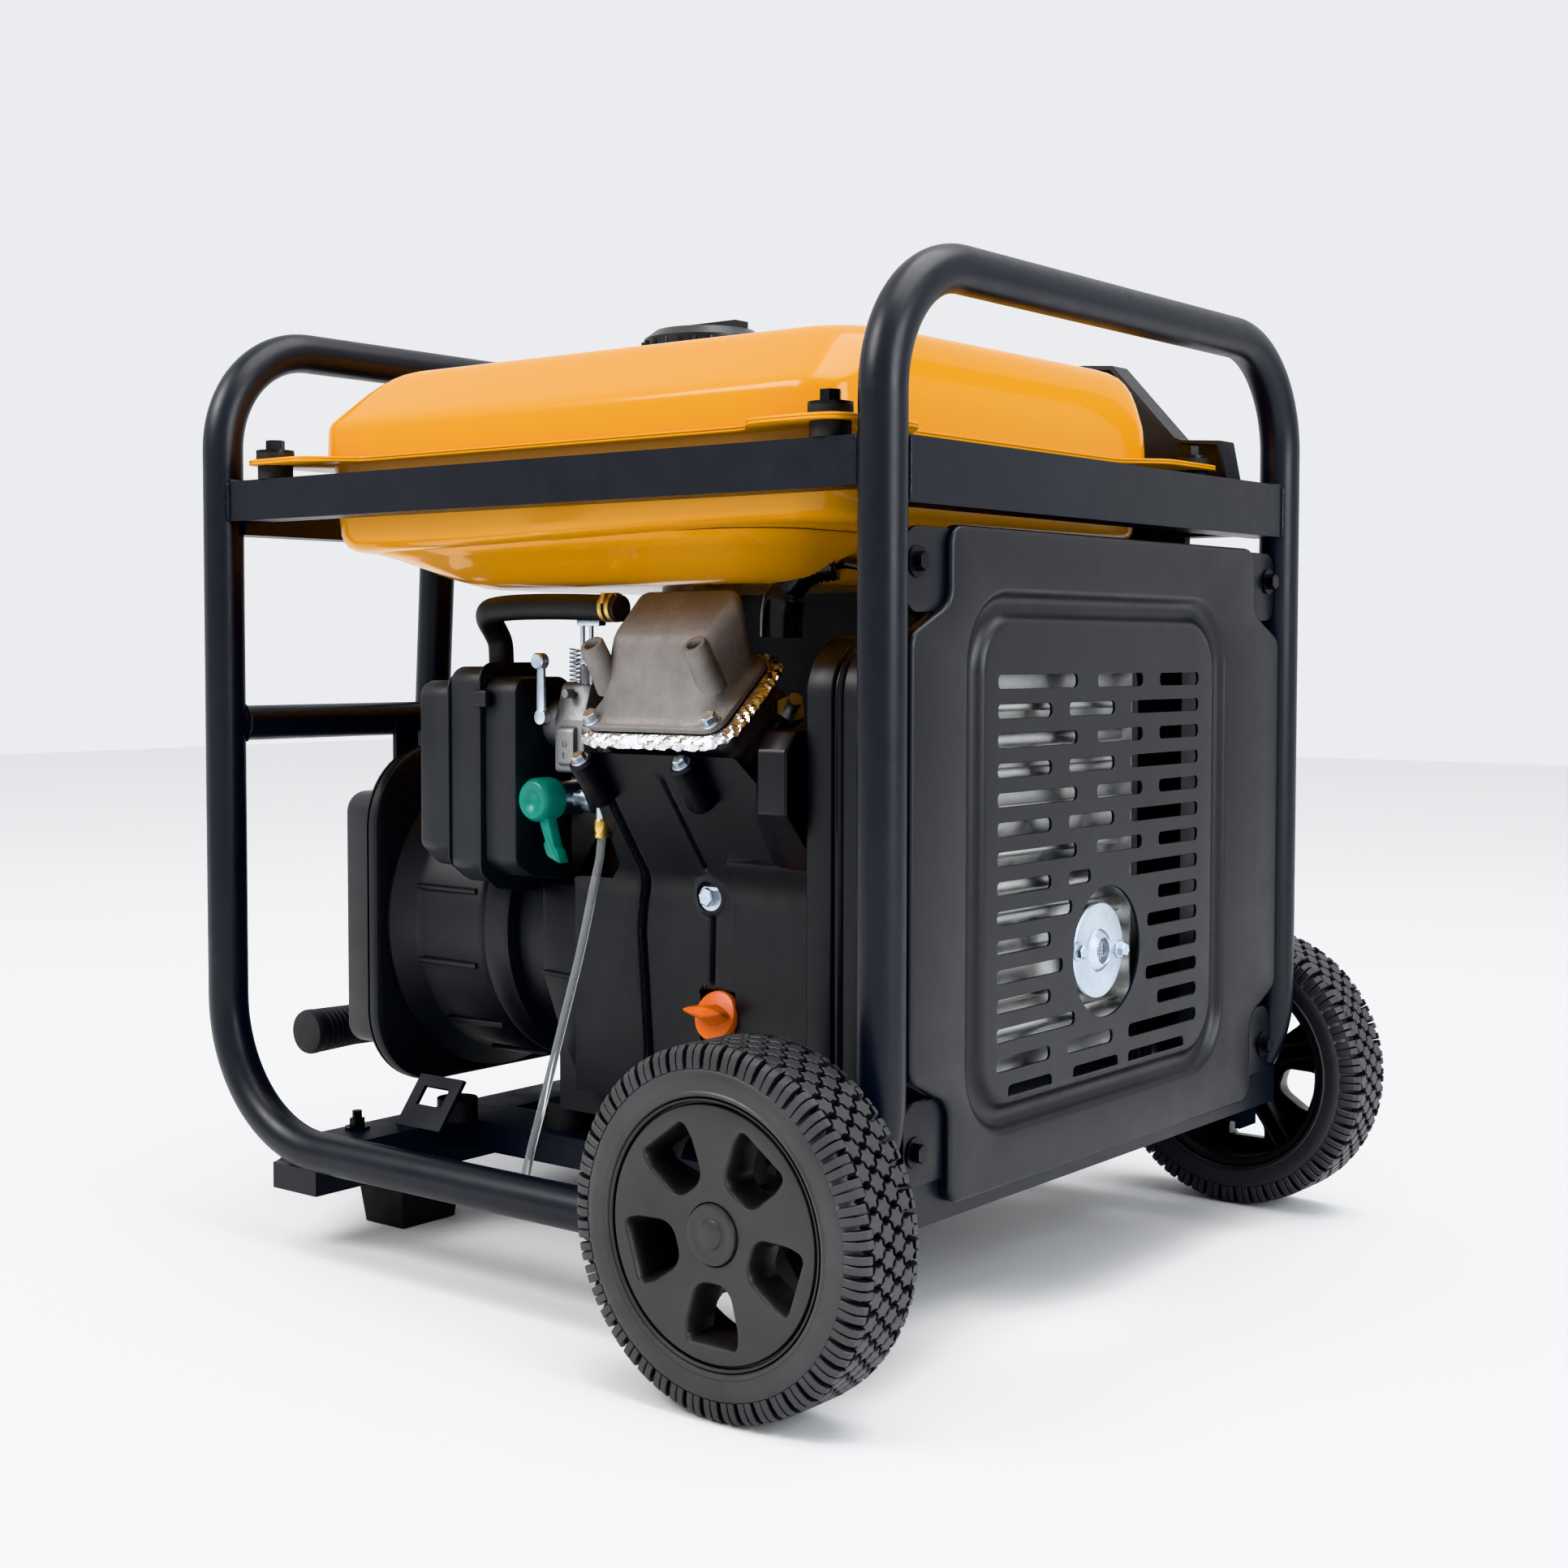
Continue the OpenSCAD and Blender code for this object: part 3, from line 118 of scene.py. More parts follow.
def new_material(name):
    """A material with a Principled shader, and its shader and output nodes."""
    mat = bpy.data.materials.new(name)
    mat.use_nodes = True
    tree = mat.node_tree
    tree.nodes.clear()
    out = tree.nodes.new("ShaderNodeOutputMaterial")
    shader = tree.nodes.new("ShaderNodeBsdfPrincipled")
    tree.links.new(shader.outputs[0], out.inputs[0])
    return mat, tree, shader


def coords(tree):
    return tree.nodes.new("ShaderNodeTexCoord").outputs["Object"]


def noise(tree, scale, detail=4.0, rough=0.55, vector=None, distort=0.0):
    n = tree.nodes.new("ShaderNodeTexNoise")
    n.inputs["Scale"].default_value = scale
    n.inputs["Detail"].default_value = detail
    n.inputs["Roughness"].default_value = rough
    n.inputs["Distortion"].default_value = distort
    tree.links.new(vector if vector is not None else coords(tree), n.inputs["Vector"])
    return n.outputs["Fac"]


def ramp(tree, value, low, high, start=0.0, end=1.0):
    """Maps a 0 to 1 value onto two colours or two greys."""
    n = tree.nodes.new("ShaderNodeValToRGB")
    n.color_ramp.elements[0].position = start
    n.color_ramp.elements[1].position = end
    n.color_ramp.elements[0].color = grey(low)
    n.color_ramp.elements[1].color = grey(high)
    tree.links.new(value, n.inputs["Fac"])
    return n.outputs["Color"]


def grey(value):
    if isinstance(value, (int, float)):
        return (value, value, value, 1.0)
    return (*value, 1.0)


def bump(tree, height, strength, distance, under=None):
    n = tree.nodes.new("ShaderNodeBump")
    n.inputs["Strength"].default_value = strength
    n.inputs["Distance"].default_value = distance
    tree.links.new(height, n.inputs["Height"])
    if under is not None:
        tree.links.new(under, n.inputs["Normal"])
    return n.outputs["Normal"]


def worn_surface(name, dark, light, rough_low, rough_high, metallic=0.0, grain=900.0,
                 grain_depth=0.00006, blotch=9.0, coat=0.0, coat_rough=0.1, specular=0.5,
                 peel=0.0, peel_scale=220.0):
    """A general finish: blotchy colour, uneven gloss and a fine grain."""
    mat, tree, shader = new_material(name)
    where = coords(tree)
    blot = noise(tree, blotch, 5.0, 0.6, where)
    fine = noise(tree, grain, 3.0, 0.6, where)
    tree.links.new(ramp(tree, blot, dark, light, 0.3, 0.72), shader.inputs["Base Color"])
    scuff = noise(tree, blotch * 5, 6.0, 0.65, where, 0.4)
    tree.links.new(ramp(tree, scuff, rough_low, rough_high, 0.3, 0.7), shader.inputs["Roughness"])
    normal = bump(tree, fine, 1.0, grain_depth)
    if peel > 0:
        normal = bump(tree, noise(tree, peel_scale, 1.0, 0.4, where), 1.0, peel, normal)
    tree.links.new(normal, shader.inputs["Normal"])
    shader.inputs["Metallic"].default_value = metallic
    shader.inputs["Specular IOR Level"].default_value = specular
    shader.inputs["Coat Weight"].default_value = coat
    shader.inputs["Coat Roughness"].default_value = coat_rough
    return mat


# Slot: its name, dark and light colour, low and high roughness, and what differs from the usual
FINISHES = {
    "frame_black": (("powder_coat", (0.005, 0.006, 0.0095), (0.009, 0.0105, 0.0155), 0.3, 0.42),
        dict(grain=1400, grain_depth=0.00003, specular=0.42, peel=0.00004)),
    "panel_black": (("panel_coat", (0.0055, 0.006, 0.0085), (0.0095, 0.01, 0.013), 0.34, 0.44),
        dict(grain=1600, grain_depth=0.00004, peel=0.00003)),
    "zinc": (("zinc_plate", (0.44, 0.5, 0.57), (0.62, 0.67, 0.72), 0.22, 0.42),
        dict(metallic=1.0, grain=700, grain_depth=0.00002, blotch=40)),
    "black_bolt": (("black_oxide", (0.012, 0.012, 0.013), (0.03, 0.03, 0.032), 0.25, 0.4),
        dict(metallic=0.6, blotch=60)),
    "rubber_black": (("black_rubber", (0.008, 0.008, 0.008), (0.016, 0.016, 0.016), 0.55, 0.75),
        dict(grain=900, grain_depth=0.00008)),
    "tyre_black": (("tyre_rubber", (0.028, 0.028, 0.029), (0.045, 0.045, 0.047), 0.34, 0.5),
        dict(grain=600, grain_depth=0.0001, blotch=14)),
    "rim_black": (("rim_plastic", (0.022, 0.021, 0.021), (0.034, 0.033, 0.032), 0.3, 0.44),
        dict(grain=1100, grain_depth=0.00005, blotch=20)),
    "grip_rubber": (("grip_rubber", (0.016, 0.016, 0.017), (0.028, 0.028, 0.03), 0.6, 0.8),
        dict(grain=500, grain_depth=0.00015)),
    "tank_yellow": (("tank_enamel", (0.66, 0.27, 0.0006), (0.7, 0.29, 0.0008), 0.22, 0.26),
        dict(grain=60, grain_depth=0.00001, blotch=3, coat=0.45, coat_rough=0.03, specular=0.25,
             peel=0.00002, peel_scale=90)),
    "brass": (("brass", (0.5, 0.33, 0.11), (0.66, 0.46, 0.18), 0.25, 0.4), dict(metallic=1.0, blotch=50)),
    "cap_black": (("cap_plastic", (0.01, 0.01, 0.011), (0.016, 0.016, 0.018), 0.25, 0.38),
        dict(grain=900, grain_depth=0.00002)),
    "muffler_steel": (("aluminised_steel", (0.42, 0.43, 0.44), (0.62, 0.62, 0.6), 0.3, 0.5),
        dict(metallic=1.0, grain=400, grain_depth=0.00008, blotch=16)),
    "cast_aluminium": (("cast_aluminium", (0.2, 0.2, 0.205), (0.32, 0.32, 0.325), 0.42, 0.6),
        dict(metallic=0.85, grain=420, grain_depth=0.00025, blotch=24)),
    "cover_aluminium": (("sand_cast", (0.19, 0.175, 0.165), (0.28, 0.26, 0.25), 0.5, 0.66),
        dict(metallic=0.55, grain=520, grain_depth=0.0004, blotch=30)),
    "foil": (("foil", (0.62, 0.62, 0.64), (0.84, 0.84, 0.84), 0.18, 0.32),
        dict(metallic=1.0, grain=260, grain_depth=0.0006, blotch=60)),
    "shroud_black": (("shroud_plastic", (0.0042, 0.0044, 0.0056), (0.0072, 0.0074, 0.009), 0.34, 0.46),
        dict(grain=1300, grain_depth=0.00004)),
    "boot_black": (("boot_rubber", (0.006, 0.006, 0.006), (0.01, 0.01, 0.01), 0.16, 0.28),
        dict(grain=300, grain_depth=0.00003)),
    "filter_black": (("filter_plastic", (0.014, 0.0155, 0.018), (0.021, 0.023, 0.026), 0.42, 0.55),
        dict(grain=1400, grain_depth=0.00005)),
    "hose_black": (("hose_rubber", (0.01, 0.01, 0.01), (0.017, 0.017, 0.017), 0.45, 0.6),
        dict(grain=500, grain_depth=0.00008)),
    "lever_teal": (("teal_plastic", (0.004, 0.17, 0.125), (0.005, 0.22, 0.165), 0.28, 0.4),
        dict(grain=700, grain_depth=0.00003, blotch=60)),
    "cap_orange": (("orange_plastic", (0.6, 0.105, 0.003), (0.7, 0.14, 0.004), 0.3, 0.42),
        dict(grain=700, grain_depth=0.00004, blotch=60)),
    "steel": (("steel", (0.35, 0.36, 0.37), (0.5, 0.5, 0.5), 0.28, 0.42), dict(metallic=1.0, blotch=40)),
    "copper": (("copper_windings", (0.5, 0.2, 0.06), (0.66, 0.3, 0.1), 0.3, 0.45),
        dict(metallic=1.0, blotch=50)),
    "alternator_black": (("alternator_coat", (0.015, 0.0155, 0.017), (0.023, 0.024, 0.026), 0.36, 0.48),
        dict(grain=900, grain_depth=0.00006)),
    "control_black": (("control_plastic", (0.014, 0.015, 0.017), (0.021, 0.022, 0.025), 0.4, 0.52),
        dict(grain=1500, grain_depth=0.00006)),
    "outlet_black": (("outlet_plastic", (0.02, 0.02, 0.022), (0.03, 0.03, 0.033), 0.3, 0.42),
        dict(grain=1200, grain_depth=0.00003)),
    "button_red": (("red_plastic", (0.5, 0.015, 0.01), (0.6, 0.025, 0.015), 0.25, 0.38),
        dict(grain=900, grain_depth=0.00003)),
}


def make_materials():
    mats = {slot: worn_surface(*finish, **extra) for slot, (finish, extra) in FINISHES.items()}
    mats["clear_tube"] = clear_plastic()
    return mats


def clear_plastic():
    mat, tree, shader = new_material("clear_hose")
    where = coords(tree)
    haze = noise(tree, 90, 4.0, 0.6, where)
    tree.links.new(ramp(tree, haze, (0.78, 0.83, 0.85), (0.9, 0.92, 0.93)), shader.inputs["Base Color"])
    tree.links.new(ramp(tree, haze, 0.05, 0.2), shader.inputs["Roughness"])
    tree.links.new(bump(tree, haze, 1.0, 0.0001), shader.inputs["Normal"])
    shader.inputs["Transmission Weight"].default_value = 0.85
    shader.inputs["IOR"].default_value = 1.4
    return mat


mats = make_materials()


def dress_nodes():
    """Every CAD node takes the material of its slot in the record."""
    for part in frame["record"]["subparts"]:
        obj = nodes[part["node"]]
        obj.data.materials.clear()
        obj.data.materials.append(mats[part["material_slot"]])


dress_nodes()


# ---------- mesh helpers ----------


def at(x, y, z):
    """A point in metres, from millimetres measured from the frame's centre."""
    return Vector((x * MM + FRAME_X, y * MM, z * MM))


def piece(name, bm, slot, body="root", stands_for=(), sharp=32, weld=True):
    """Makes a mesh into an object that rides a body, takes a slot's finish and replaces nodes."""
    if weld:
        bmesh.ops.remove_doubles(bm, verts=bm.verts, dist=1e-6)
    bmesh.ops.recalc_face_normals(bm, faces=bm.faces)
    for face in bm.faces:
        face.smooth = True
    for edge in bm.edges:
        if len(edge.link_faces) == 2:
            edge.smooth = edge.calc_face_angle(0) < math.radians(sharp)
    mesh = bpy.data.meshes.new(name)
    bm.to_mesh(mesh)
    bm.free()
    obj = bpy.data.objects.new(name, mesh)
    bpy.context.scene.collection.objects.link(obj)
    mesh.materials.append(mats[slot])
    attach(obj, body)
    if stands_for:
        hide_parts(*stands_for)
    return obj


def loft(bm, loops, start=True, end=True, closed=True):
    """Skins a stack of loops that have the same number of points."""
    rings = [[bm.verts.new(p) for p in loop] for loop in loops]
    count = len(rings[0])
    for low, high in zip(rings, rings[1:]):
        for i in range(count if closed else count - 1):
            j = (i + 1) % count
            bm.faces.new((low[i], low[j], high[j], high[i]))
    if start:
        bm.faces.new(rings[0][::-1])
    if end:
        bm.faces.new(rings[-1])
    return rings


def soft_outline(corners, steps=6):
    """Outline of a polygon whose corners are (a, b, radius)."""
    points = []
    count = len(corners)
    for i, (a, b, radius) in enumerate(corners):
        here = Vector((a, b))
        back = Vector(corners[i - 1][:2]) - here
        ahead = Vector(corners[(i + 1) % count][:2]) - here
        turn = back.angle(ahead)
        if radius <= 0 or turn > math.pi - 0.02:
            # A sharp or a straight corner keeps the same number of points
            for k in range(steps + 1):
                share = 2 * k / steps - 1
                way = ahead if share > 0 else back
                points.append(here + way.normalized() * (0.1 * abs(share)))
            continue
        reach = radius / math.tan(turn / 2)
        reach = min(reach, back.length * 0.49, ahead.length * 0.49)
        radius = reach * math.tan(turn / 2)
        centre = here + (back.normalized() + ahead.normalized()).normalized() * (radius / math.sin(turn / 2))
        first = here + back.normalized() * reach - centre
        last = here + ahead.normalized() * reach - centre
        sweep = first.angle_signed(last)
        for k in range(steps + 1):
            spin = Matrix.Rotation(-sweep * k / steps, 2)
            points.append(centre + spin @ first)
    return points


def rect_outline(a0, b0, a1, b1, radius, steps=6, side=1):
    """Outline of a rounded rectangle, anticlockwise, with extra points along its sides."""
    points = []
    spots = ((a1 - radius, b1 - radius, 0), (a0 + radius, b1 - radius, 90),
             (a0 + radius, b0 + radius, 180), (a1 - radius, b0 + radius, 270))
    arcs = []
    for a, b, first in spots:
        arcs.append([Vector((a + radius * math.cos(math.radians(first + 90 * k / steps)),
                             b + radius * math.sin(math.radians(first + 90 * k / steps))))
                     for k in range(steps + 1)])
    for i, arc in enumerate(arcs):
        points += arc
        ahead = arcs[(i + 1) % 4][0]
        for k in range(1, side):
            points.append(arc[-1].lerp(ahead, k / side))
    return points


def lathe(bm, profile, place, segments=96, closed=False):
    """Turns (radius, height) points into a surface; place(radius, height, angle) gives each point."""
    rings = []
    for k in range(segments):
        turn = 2 * math.pi * k / segments
        rings.append([bm.verts.new(place(r, h, turn)) for r, h in profile])
    count = len(profile)
    for k in range(segments):
        near, far = rings[k], rings[(k + 1) % segments]
        for i in range(count if closed else count - 1):
            j = (i + 1) % count
            corners = (near[i], far[i], far[j], near[j])
            bm.faces.new(corners)


def tube(bm, path, radius, sides=16, caps=True, radii=None):
    """Round bar along a path of points in metres."""
    loops = []
    across = None
    for i, point in enumerate(path):
        ahead = (path[min(i + 1, len(path) - 1)] - path[max(i - 1, 0)]).normalized()
        if across is None:
            across = ahead.orthogonal().normalized()
        across = (across - ahead * across.dot(ahead)).normalized()
        other = ahead.cross(across)
        size = radii[i] if radii else radius
        loops.append([point + size * (math.cos(2 * math.pi * k / sides) * across
                                      + math.sin(2 * math.pi * k / sides) * other)
                      for k in range(sides)])
    loft(bm, loops, caps, caps)


def smooth_path(points, steps=6):
    """A curve through points, in metres."""
    out = []
    for i in range(len(points) - 1):
        before = points[max(i - 1, 0)]
        a, b = points[i], points[i + 1]
        after = points[min(i + 2, len(points) - 1)]
        for k in range(steps):
            t = k / steps
            out.append(0.5 * ((2 * a) + (b - before) * t + (2 * before - 5 * a + 4 * b - after) * t * t
                              + (3 * a - before - 3 * b + after) * t * t * t))
    out.append(points[-1])
    return out


def rod(bm, a, b, radius, sides=24, edge=0.0):
    """Round rod between two points, with its end edges rounded by edge."""
    a, b = Vector(a), Vector(b)
    way = (b - a).normalized()
    if edge <= 0:
        tube(bm, [a, b], radius, sides)
        return
    path = [a, a + way * edge * 0.3, a + way * edge, b - way * edge, b - way * edge * 0.3, b]
    radii = [radius - edge, radius - edge * 0.3, radius, radius, radius - edge * 0.3, radius - edge]
    tube(bm, path, radius, sides, radii=radii)


def stack(bm, outline, place, steps, start=True, end=True):
    """Skins an outline through steps of height and inset."""
    loft(bm, [[place(p.x, p.y, h) for p in grow(outline, -inset)] for h, inset in steps], start, end)


def slab(bm, outline, place, low, high, edge=0.0):
    """Solid with a flat outline between two heights; edge rounds its rims inwards."""
    way = edge if high > low else -edge
    steps = [(low, 0), (high, 0)]
    if edge > 0:
        steps = [(low, edge), (low + way * 0.3, edge * 0.3), (low + way, 0),
                 (high - way, 0), (high - way * 0.3, edge * 0.3), (high, edge)]
    stack(bm, outline, place, steps)


def grow(outline, by):
    """The outline moved outwards by a distance."""
    if by == 0:
        return list(outline)
    area = sum(a.x * b.y - b.x * a.y for a, b in zip(outline, outline[1:] + outline[:1]))
    side = 1 if area > 0 else -1
    out = []
    count = len(outline)
    for i, here in enumerate(outline):
        along = outline[(i + 1) % count] - outline[i - 1]
        normal = Vector((along.y, -along.x)).normalized() * side
        out.append(here + normal * by)
    return out


def spot(radius, turn):
    """A flat point at a distance and an angle."""
    return Vector((radius * math.cos(turn), radius * math.sin(turn)))


def ring_of(radius, count):
    return [spot(radius, 2 * math.pi * k / count) for k in range(count)]


def about_x(y, z):
    """Placer for a lathe on an axis along X."""
    return lambda r, h, turn: at(h, y + r * math.cos(turn), z + r * math.sin(turn))


def about_z(x, y):
    return lambda r, h, turn: at(x + r * math.cos(turn), y + r * math.sin(turn), h)


def about_y(x, z, y=0):
    return lambda r, h, turn: at(x + r * math.cos(turn), y + h, z + r * math.sin(turn))


def on_x(y, z, x):
    return at(x, y, z)


def on_y(x, z, y):
    return at(x, y, z)


def on_z(x, y, z):
    return at(x, y, z)


# ---------- fuel tank ----------


def ease(value, low, high):
    t = min(max((value - low) / (high - low), 0), 1)
    return t * t * (3 - 2 * t)


TANK_X = 6.5
TANK_Y = -28.5


def tank_flange(z_low, z_high):
    """Thin rolled rim with a tab at each mount."""
    quarter = [(234.5, 0, 0), (234.5, 122, 18), (260.5, 150, 24), (260.5, 230.5, 18),
               (196, 230.5, 24), (170, 199.5, 18), (0, 199.5, 0)]
    corners = quarter[:]
    corners += [(-a, b, r) for a, b, r in quarter[::-1][1:]]
    corners += [(-a, -b, r) for a, b, r in quarter[1:]]
    corners += [(a, -b, r) for a, b, r in quarter[::-1][1:-1]]
    outline = [p + Vector((TANK_X, TANK_Y)) for p in soft_outline(corners, 5)]
    bm = bmesh.new()
    slab(bm, outline, on_z, z_low, z_high, 0.8)
    return bm


def merge(bm, other):
    """Puts another mesh's faces into bm."""
    held = bpy.data.meshes.new("held")
    other.to_mesh(held)
    other.free()
    bm.from_mesh(held)
    bpy.data.meshes.remove(held)


def tank_shells():
    # Upper shell: height, then the outline's ends, near side, far side and corner radius
    levels = [
        (550, -222, 235, -222, 165, 30), (558, -221.8, 235, -222, 165, 30),
        (570, -221.3, 234.3, -222, 164.5, 30), (574, -221, 234, -221.6, 164.2, 30),
        (577, -220.6, 233.6, -220, 163.8, 30), (580, -220, 233.2, -217, 163.4, 31),
        (584, -219.2, 232.6, -212.3, 162.8, 32), (592, -217.2, 231, -202.6, 161.4, 33),
        (600, -214.4, 228.6, -193, 159.6, 34), (606, -211, 225.6, -185.6, 157.2, 35),
        (610, -207.6, 222.4, -180.4, 154.6, 36), (613, -203.4, 218.2, -175.4, 150.6, 37),
        (614.8, -198, 213, -170.4, 146, 37), (615.7, -190, 205, -163, 139, 36),
        (616, -176, 191, -150, 126, 34),
    ]
    bm = bmesh.new()
    loops = []
    for z, x0, x1, y0, y1, r in levels:
        loops.append([at(p.x, p.y, z) for p in rect_outline(x0, y0, x1, y1, r, 10, 12)])
    loft(bm, loops, start=False)
    merge(bm, tank_flange(549.2, 551))
    piece("tank_top_shell", bm, "tank_yellow", stands_for=("tank_upper",), sharp=50)

    # Lower shell, its bottom a little higher towards the wheel end
    levels = [
        (550, -219, 232, -219, 162, 30, 0), (540, -218.6, 231.6, -218.4, 161.6, 30, 0),
        (515, -217.6, 230.4, -216.4, 160, 30, 0), (500, -217, 229.6, -214.6, 158.6, 30, 0.4),
        (495, -216.2, 228.8, -213, 157.4, 30, 0.7), (491, -213.8, 226.4, -210, 155, 29, 0.9),
        (488.4, -209.6, 222.4, -205.4, 151, 27, 1), (487.2, -202, 215, -198, 144, 25, 1),
        (487, -188, 201, -184, 130, 22, 1),
    ]
    bm = bmesh.new()
    loops = []
    for z, x0, x1, y0, y1, r, tilt in levels:
        loop = []
        for p in rect_outline(x0, y0, x1, y1, r, 10, 40):
            rise = tilt * 7 * ease(p.x, -217, 235)
            y = p.y
            if y < -150 and z < 548:
                # The wall swells towards the sump beyond a curved crease
                crease = 34 - 46 * ease(513 - z, 0, 17)
                swell = ease(p.x, crease - 3, crease + 7) * ease(228 - p.x, 0, 40)
                y -= 3.4 * swell * ease(549 - z, 5, 26)
            loop.append(at(p.x, y, z + rise))
        loops.append(loop)
    loft(bm, loops, start=False)
    # Sump under the belly
    levels = [
        (493, -212, 176, -204, 116, 44), (487, -208, 172, -198, 112, 44), (483.5, -197, 166, -190, 107, 44),
        (478, -184, 158, -180, 100, 43), (470, -166, 147, -166, 90, 42), (465.6, -155, 139, -156, 83, 42),
        (463, -147, 132, -149, 77, 40), (462, -139, 124, -141, 70, 38), (461.8, -120, 106, -122, 52, 30),
    ]
    loft(bm, [[at(p.x, p.y, z) for p in rect_outline(x0, y0, x1, y1, r, 10, 6)]
              for z, x0, x1, y0, y1, r in levels])
    merge(bm, tank_flange(547.4, 549.2))
    piece("tank_belly_shell", bm, "tank_yellow", stands_for=("tank_lower",), sharp=50)


tank_shells()


# ---------- wheels ----------

WHEEL_X = 236.5
WHEEL_Z = 103.5
WHEEL_Y = 304


def wheel_place(side):
    """Places a wheel point from its radius, its distance out from the middle and its angle."""
    def place(radius, out, turn):
        x, z = spot(radius, turn)
        return at(WHEEL_X + x, side * (WHEEL_Y + out), WHEEL_Z + z)
    return place


def mirrored(profile):
    return profile + [(r, -w) for r, w in profile[::-1]]


def tyre(side, name, node, body):
    place = wheel_place(side)
    bm = bmesh.new()
    half = [(74.4, 20), (74.6, 25.8), (75.6, 27.2), (77.4, 27.9), (78.3, 27.3), (79.2, 27.4), (84, 27.9),
            (88.6, 27.7), (90, 27), (90.8, 25.6), (94.5, 23.4), (97, 19.5), (98, 14), (98.3, 6)]
    lathe(bm, mirrored(half), place, 120)
    turns = 48
    pitch = 2 * math.pi / turns

    def block(outline_rw, mid, half_wide, edge):
        """Bar with a section in radius and width, centred on an angle."""
        loops = []
        for by, dy in ((-half_wide, edge), (-half_wide + edge, 0), (half_wide - edge, 0), (half_wide, edge)):
            loops.append([place(p.x, p.y, mid + by / p.x) for p in grow(outline_rw, -dy)])
        loft(bm, loops)

    for i in range(turns):
        mid = i * pitch
        for far in (1, -1):
            reach = 19.4 if i % 2 == 0 else 17.6
            section = [(89.6, 24), (90.2, 27.3), (95.4, 27), (100.2, 25.4), (103, 22.4), (103.4, reach),
                       (98, reach), (95, 21)]
            section = [Vector((r, far * w)) for r, w in section]
            for part in (-1, 1):
                block(section, mid + part * 2.65 / 98, 2.3, 0.5)
    for row, w in enumerate((-13.4, -4.6, 4.6, 13.4)):
        for i in range(turns):
            mid = (i + (0.5 if row % 2 else 0)) * pitch
            loops = []
            for size, height in ((1.1, 97.2), (1.03, 101.9), (1.0, 102.9), (0.86, 103.45)):
                loop = []
                for k in range(12):
                    reach = (6.0 if k % 2 == 0 else 4.1) * size
                    spin = math.pi / 6 * k
                    across, ahead = spot(reach, spin)
                    loop.append(place(height, w + across, mid + ahead / height))
                loops.append(loop)
            loft(bm, loops, start=False)
    piece(name, bm, "tyre_black", body, (node,), sharp=28, weld=False)


def rim(side, name, node, body):
    place = wheel_place(side)
    bm = bmesh.new()

    def face_at(radius):
        return 26.4 - 2.2 * (1 - radius / 74)
    # Lip, groove and barrel
    lathe(bm, [(69.0, face_at(69)), (70.4, 25.9), (71.0, 25.0), (71.2, 23.4), (72.0, 23.4), (72.3, 25.9),
               (73.0, 26.8), (74.0, 26.6), (74.3, 25.4), (74.3, -24), (73, -26), (70, -25), (68, -22),
               (68, 14), (69.0, 22)], place, 120)
    window = soft_outline([(61.5, -19, 5), (61.5, 19, 5), (50, 18.8, 18), (26.5, 12, 12),
                           (26.5, -12, 12), (50, -18.8, 18)], 8)
    spins = [math.radians(72 * i - 90) for i in range(5)]

    def spun(p, turn):
        """Window point as a point in the wheel's plane."""
        return Vector((p.x * math.cos(turn) - p.y * math.sin(turn),
                       p.x * math.sin(turn) + p.y * math.cos(turn)))

    def put(p, out):
        return at(WHEEL_X + p.x, side * (WHEEL_Y + out), WHEEL_Z + p.y)
    rims = [ring_of(69, 120), ring_of(17.8, 48)]
    holes = [[spun(p, turn) for p in window] for turn in spins]
    flat_sheet(bm, rims + holes, [False, True] + [True] * 5, lambda p: put(p, face_at(p.length)))
    # Dished walls of the windows
    for turn in spins:
        walls = []
        for by, drop in ((0, 0), (-0.5, 0.5), (-1.3, 2.0), (-2.3, 5), (-3.2, 9), (-3.9, 14), (-4.2, 20),
                         (-2.4, 20.2), (-1.6, 4)):
            loop = [spun(p, turn) for p in grow(window, by)]
            walls.append([put(p, face_at(p.length) - drop) for p in loop])
        loft(bm, walls, False, False)
    # Well round the hub, and the hub itself
    lathe(bm, [(17.8, face_at(17.8)), (17.6, 22), (22, 20), (22.5, -25), (6.2, -25), (6.2, 20), (12, 21.5),
               (17.6, 22)], place, 48)
    # Webs behind the spokes
    for turn in spins:
        turn += math.pi / 5
        across = Vector((-math.sin(turn), math.cos(turn)))
        along = Vector((math.cos(turn), math.sin(turn)))
        for off in (-5.5, 5.5):
            base = [along * 21 + across * (off - 1), along * 68.5 + across * (off - 1),
                    along * 68.5 + across * (off + 1), along * 21 + across * (off + 1)]
            loft(bm, [[put(p, out) for p in base] for out in (-14, 22)])
    piece(name, bm, "rim_black", body, (node,), sharp=30)


def flat_sheet(bm, outlines, holes, place):
    """Fills the space between an outer outline and holes with triangles."""
    verts, edges = [], []
    for outline in outlines:
        first = len(verts)
        verts += outline
        edges += [(first + k, first + (k + 1) % len(outline)) for k in range(len(outline))]
    flat, _, faces, _, _, _ = geometry.delaunay_2d_cdt([Vector(v) for v in verts], edges, [], 0, 1e-7)

    def inside(point, outline):
        odd = False
        for a, b in zip(outline, outline[1:] + outline[:1]):
            if (a.y > point.y) != (b.y > point.y):
                if point.x < (b.x - a.x) * (point.y - a.y) / (b.y - a.y) + a.x:
                    odd = not odd
        return odd
    made = [bm.verts.new(place(v)) for v in flat]
    for tri in faces:
        mid = sum((flat[i] for i in tri), Vector((0, 0))) / len(tri)
        cut = any(inside(mid, o) for o, is_hole in zip(outlines, holes) if is_hole)
        if inside(mid, outlines[0]) and not cut:
            bm.faces.new([made[i] for i in tri])


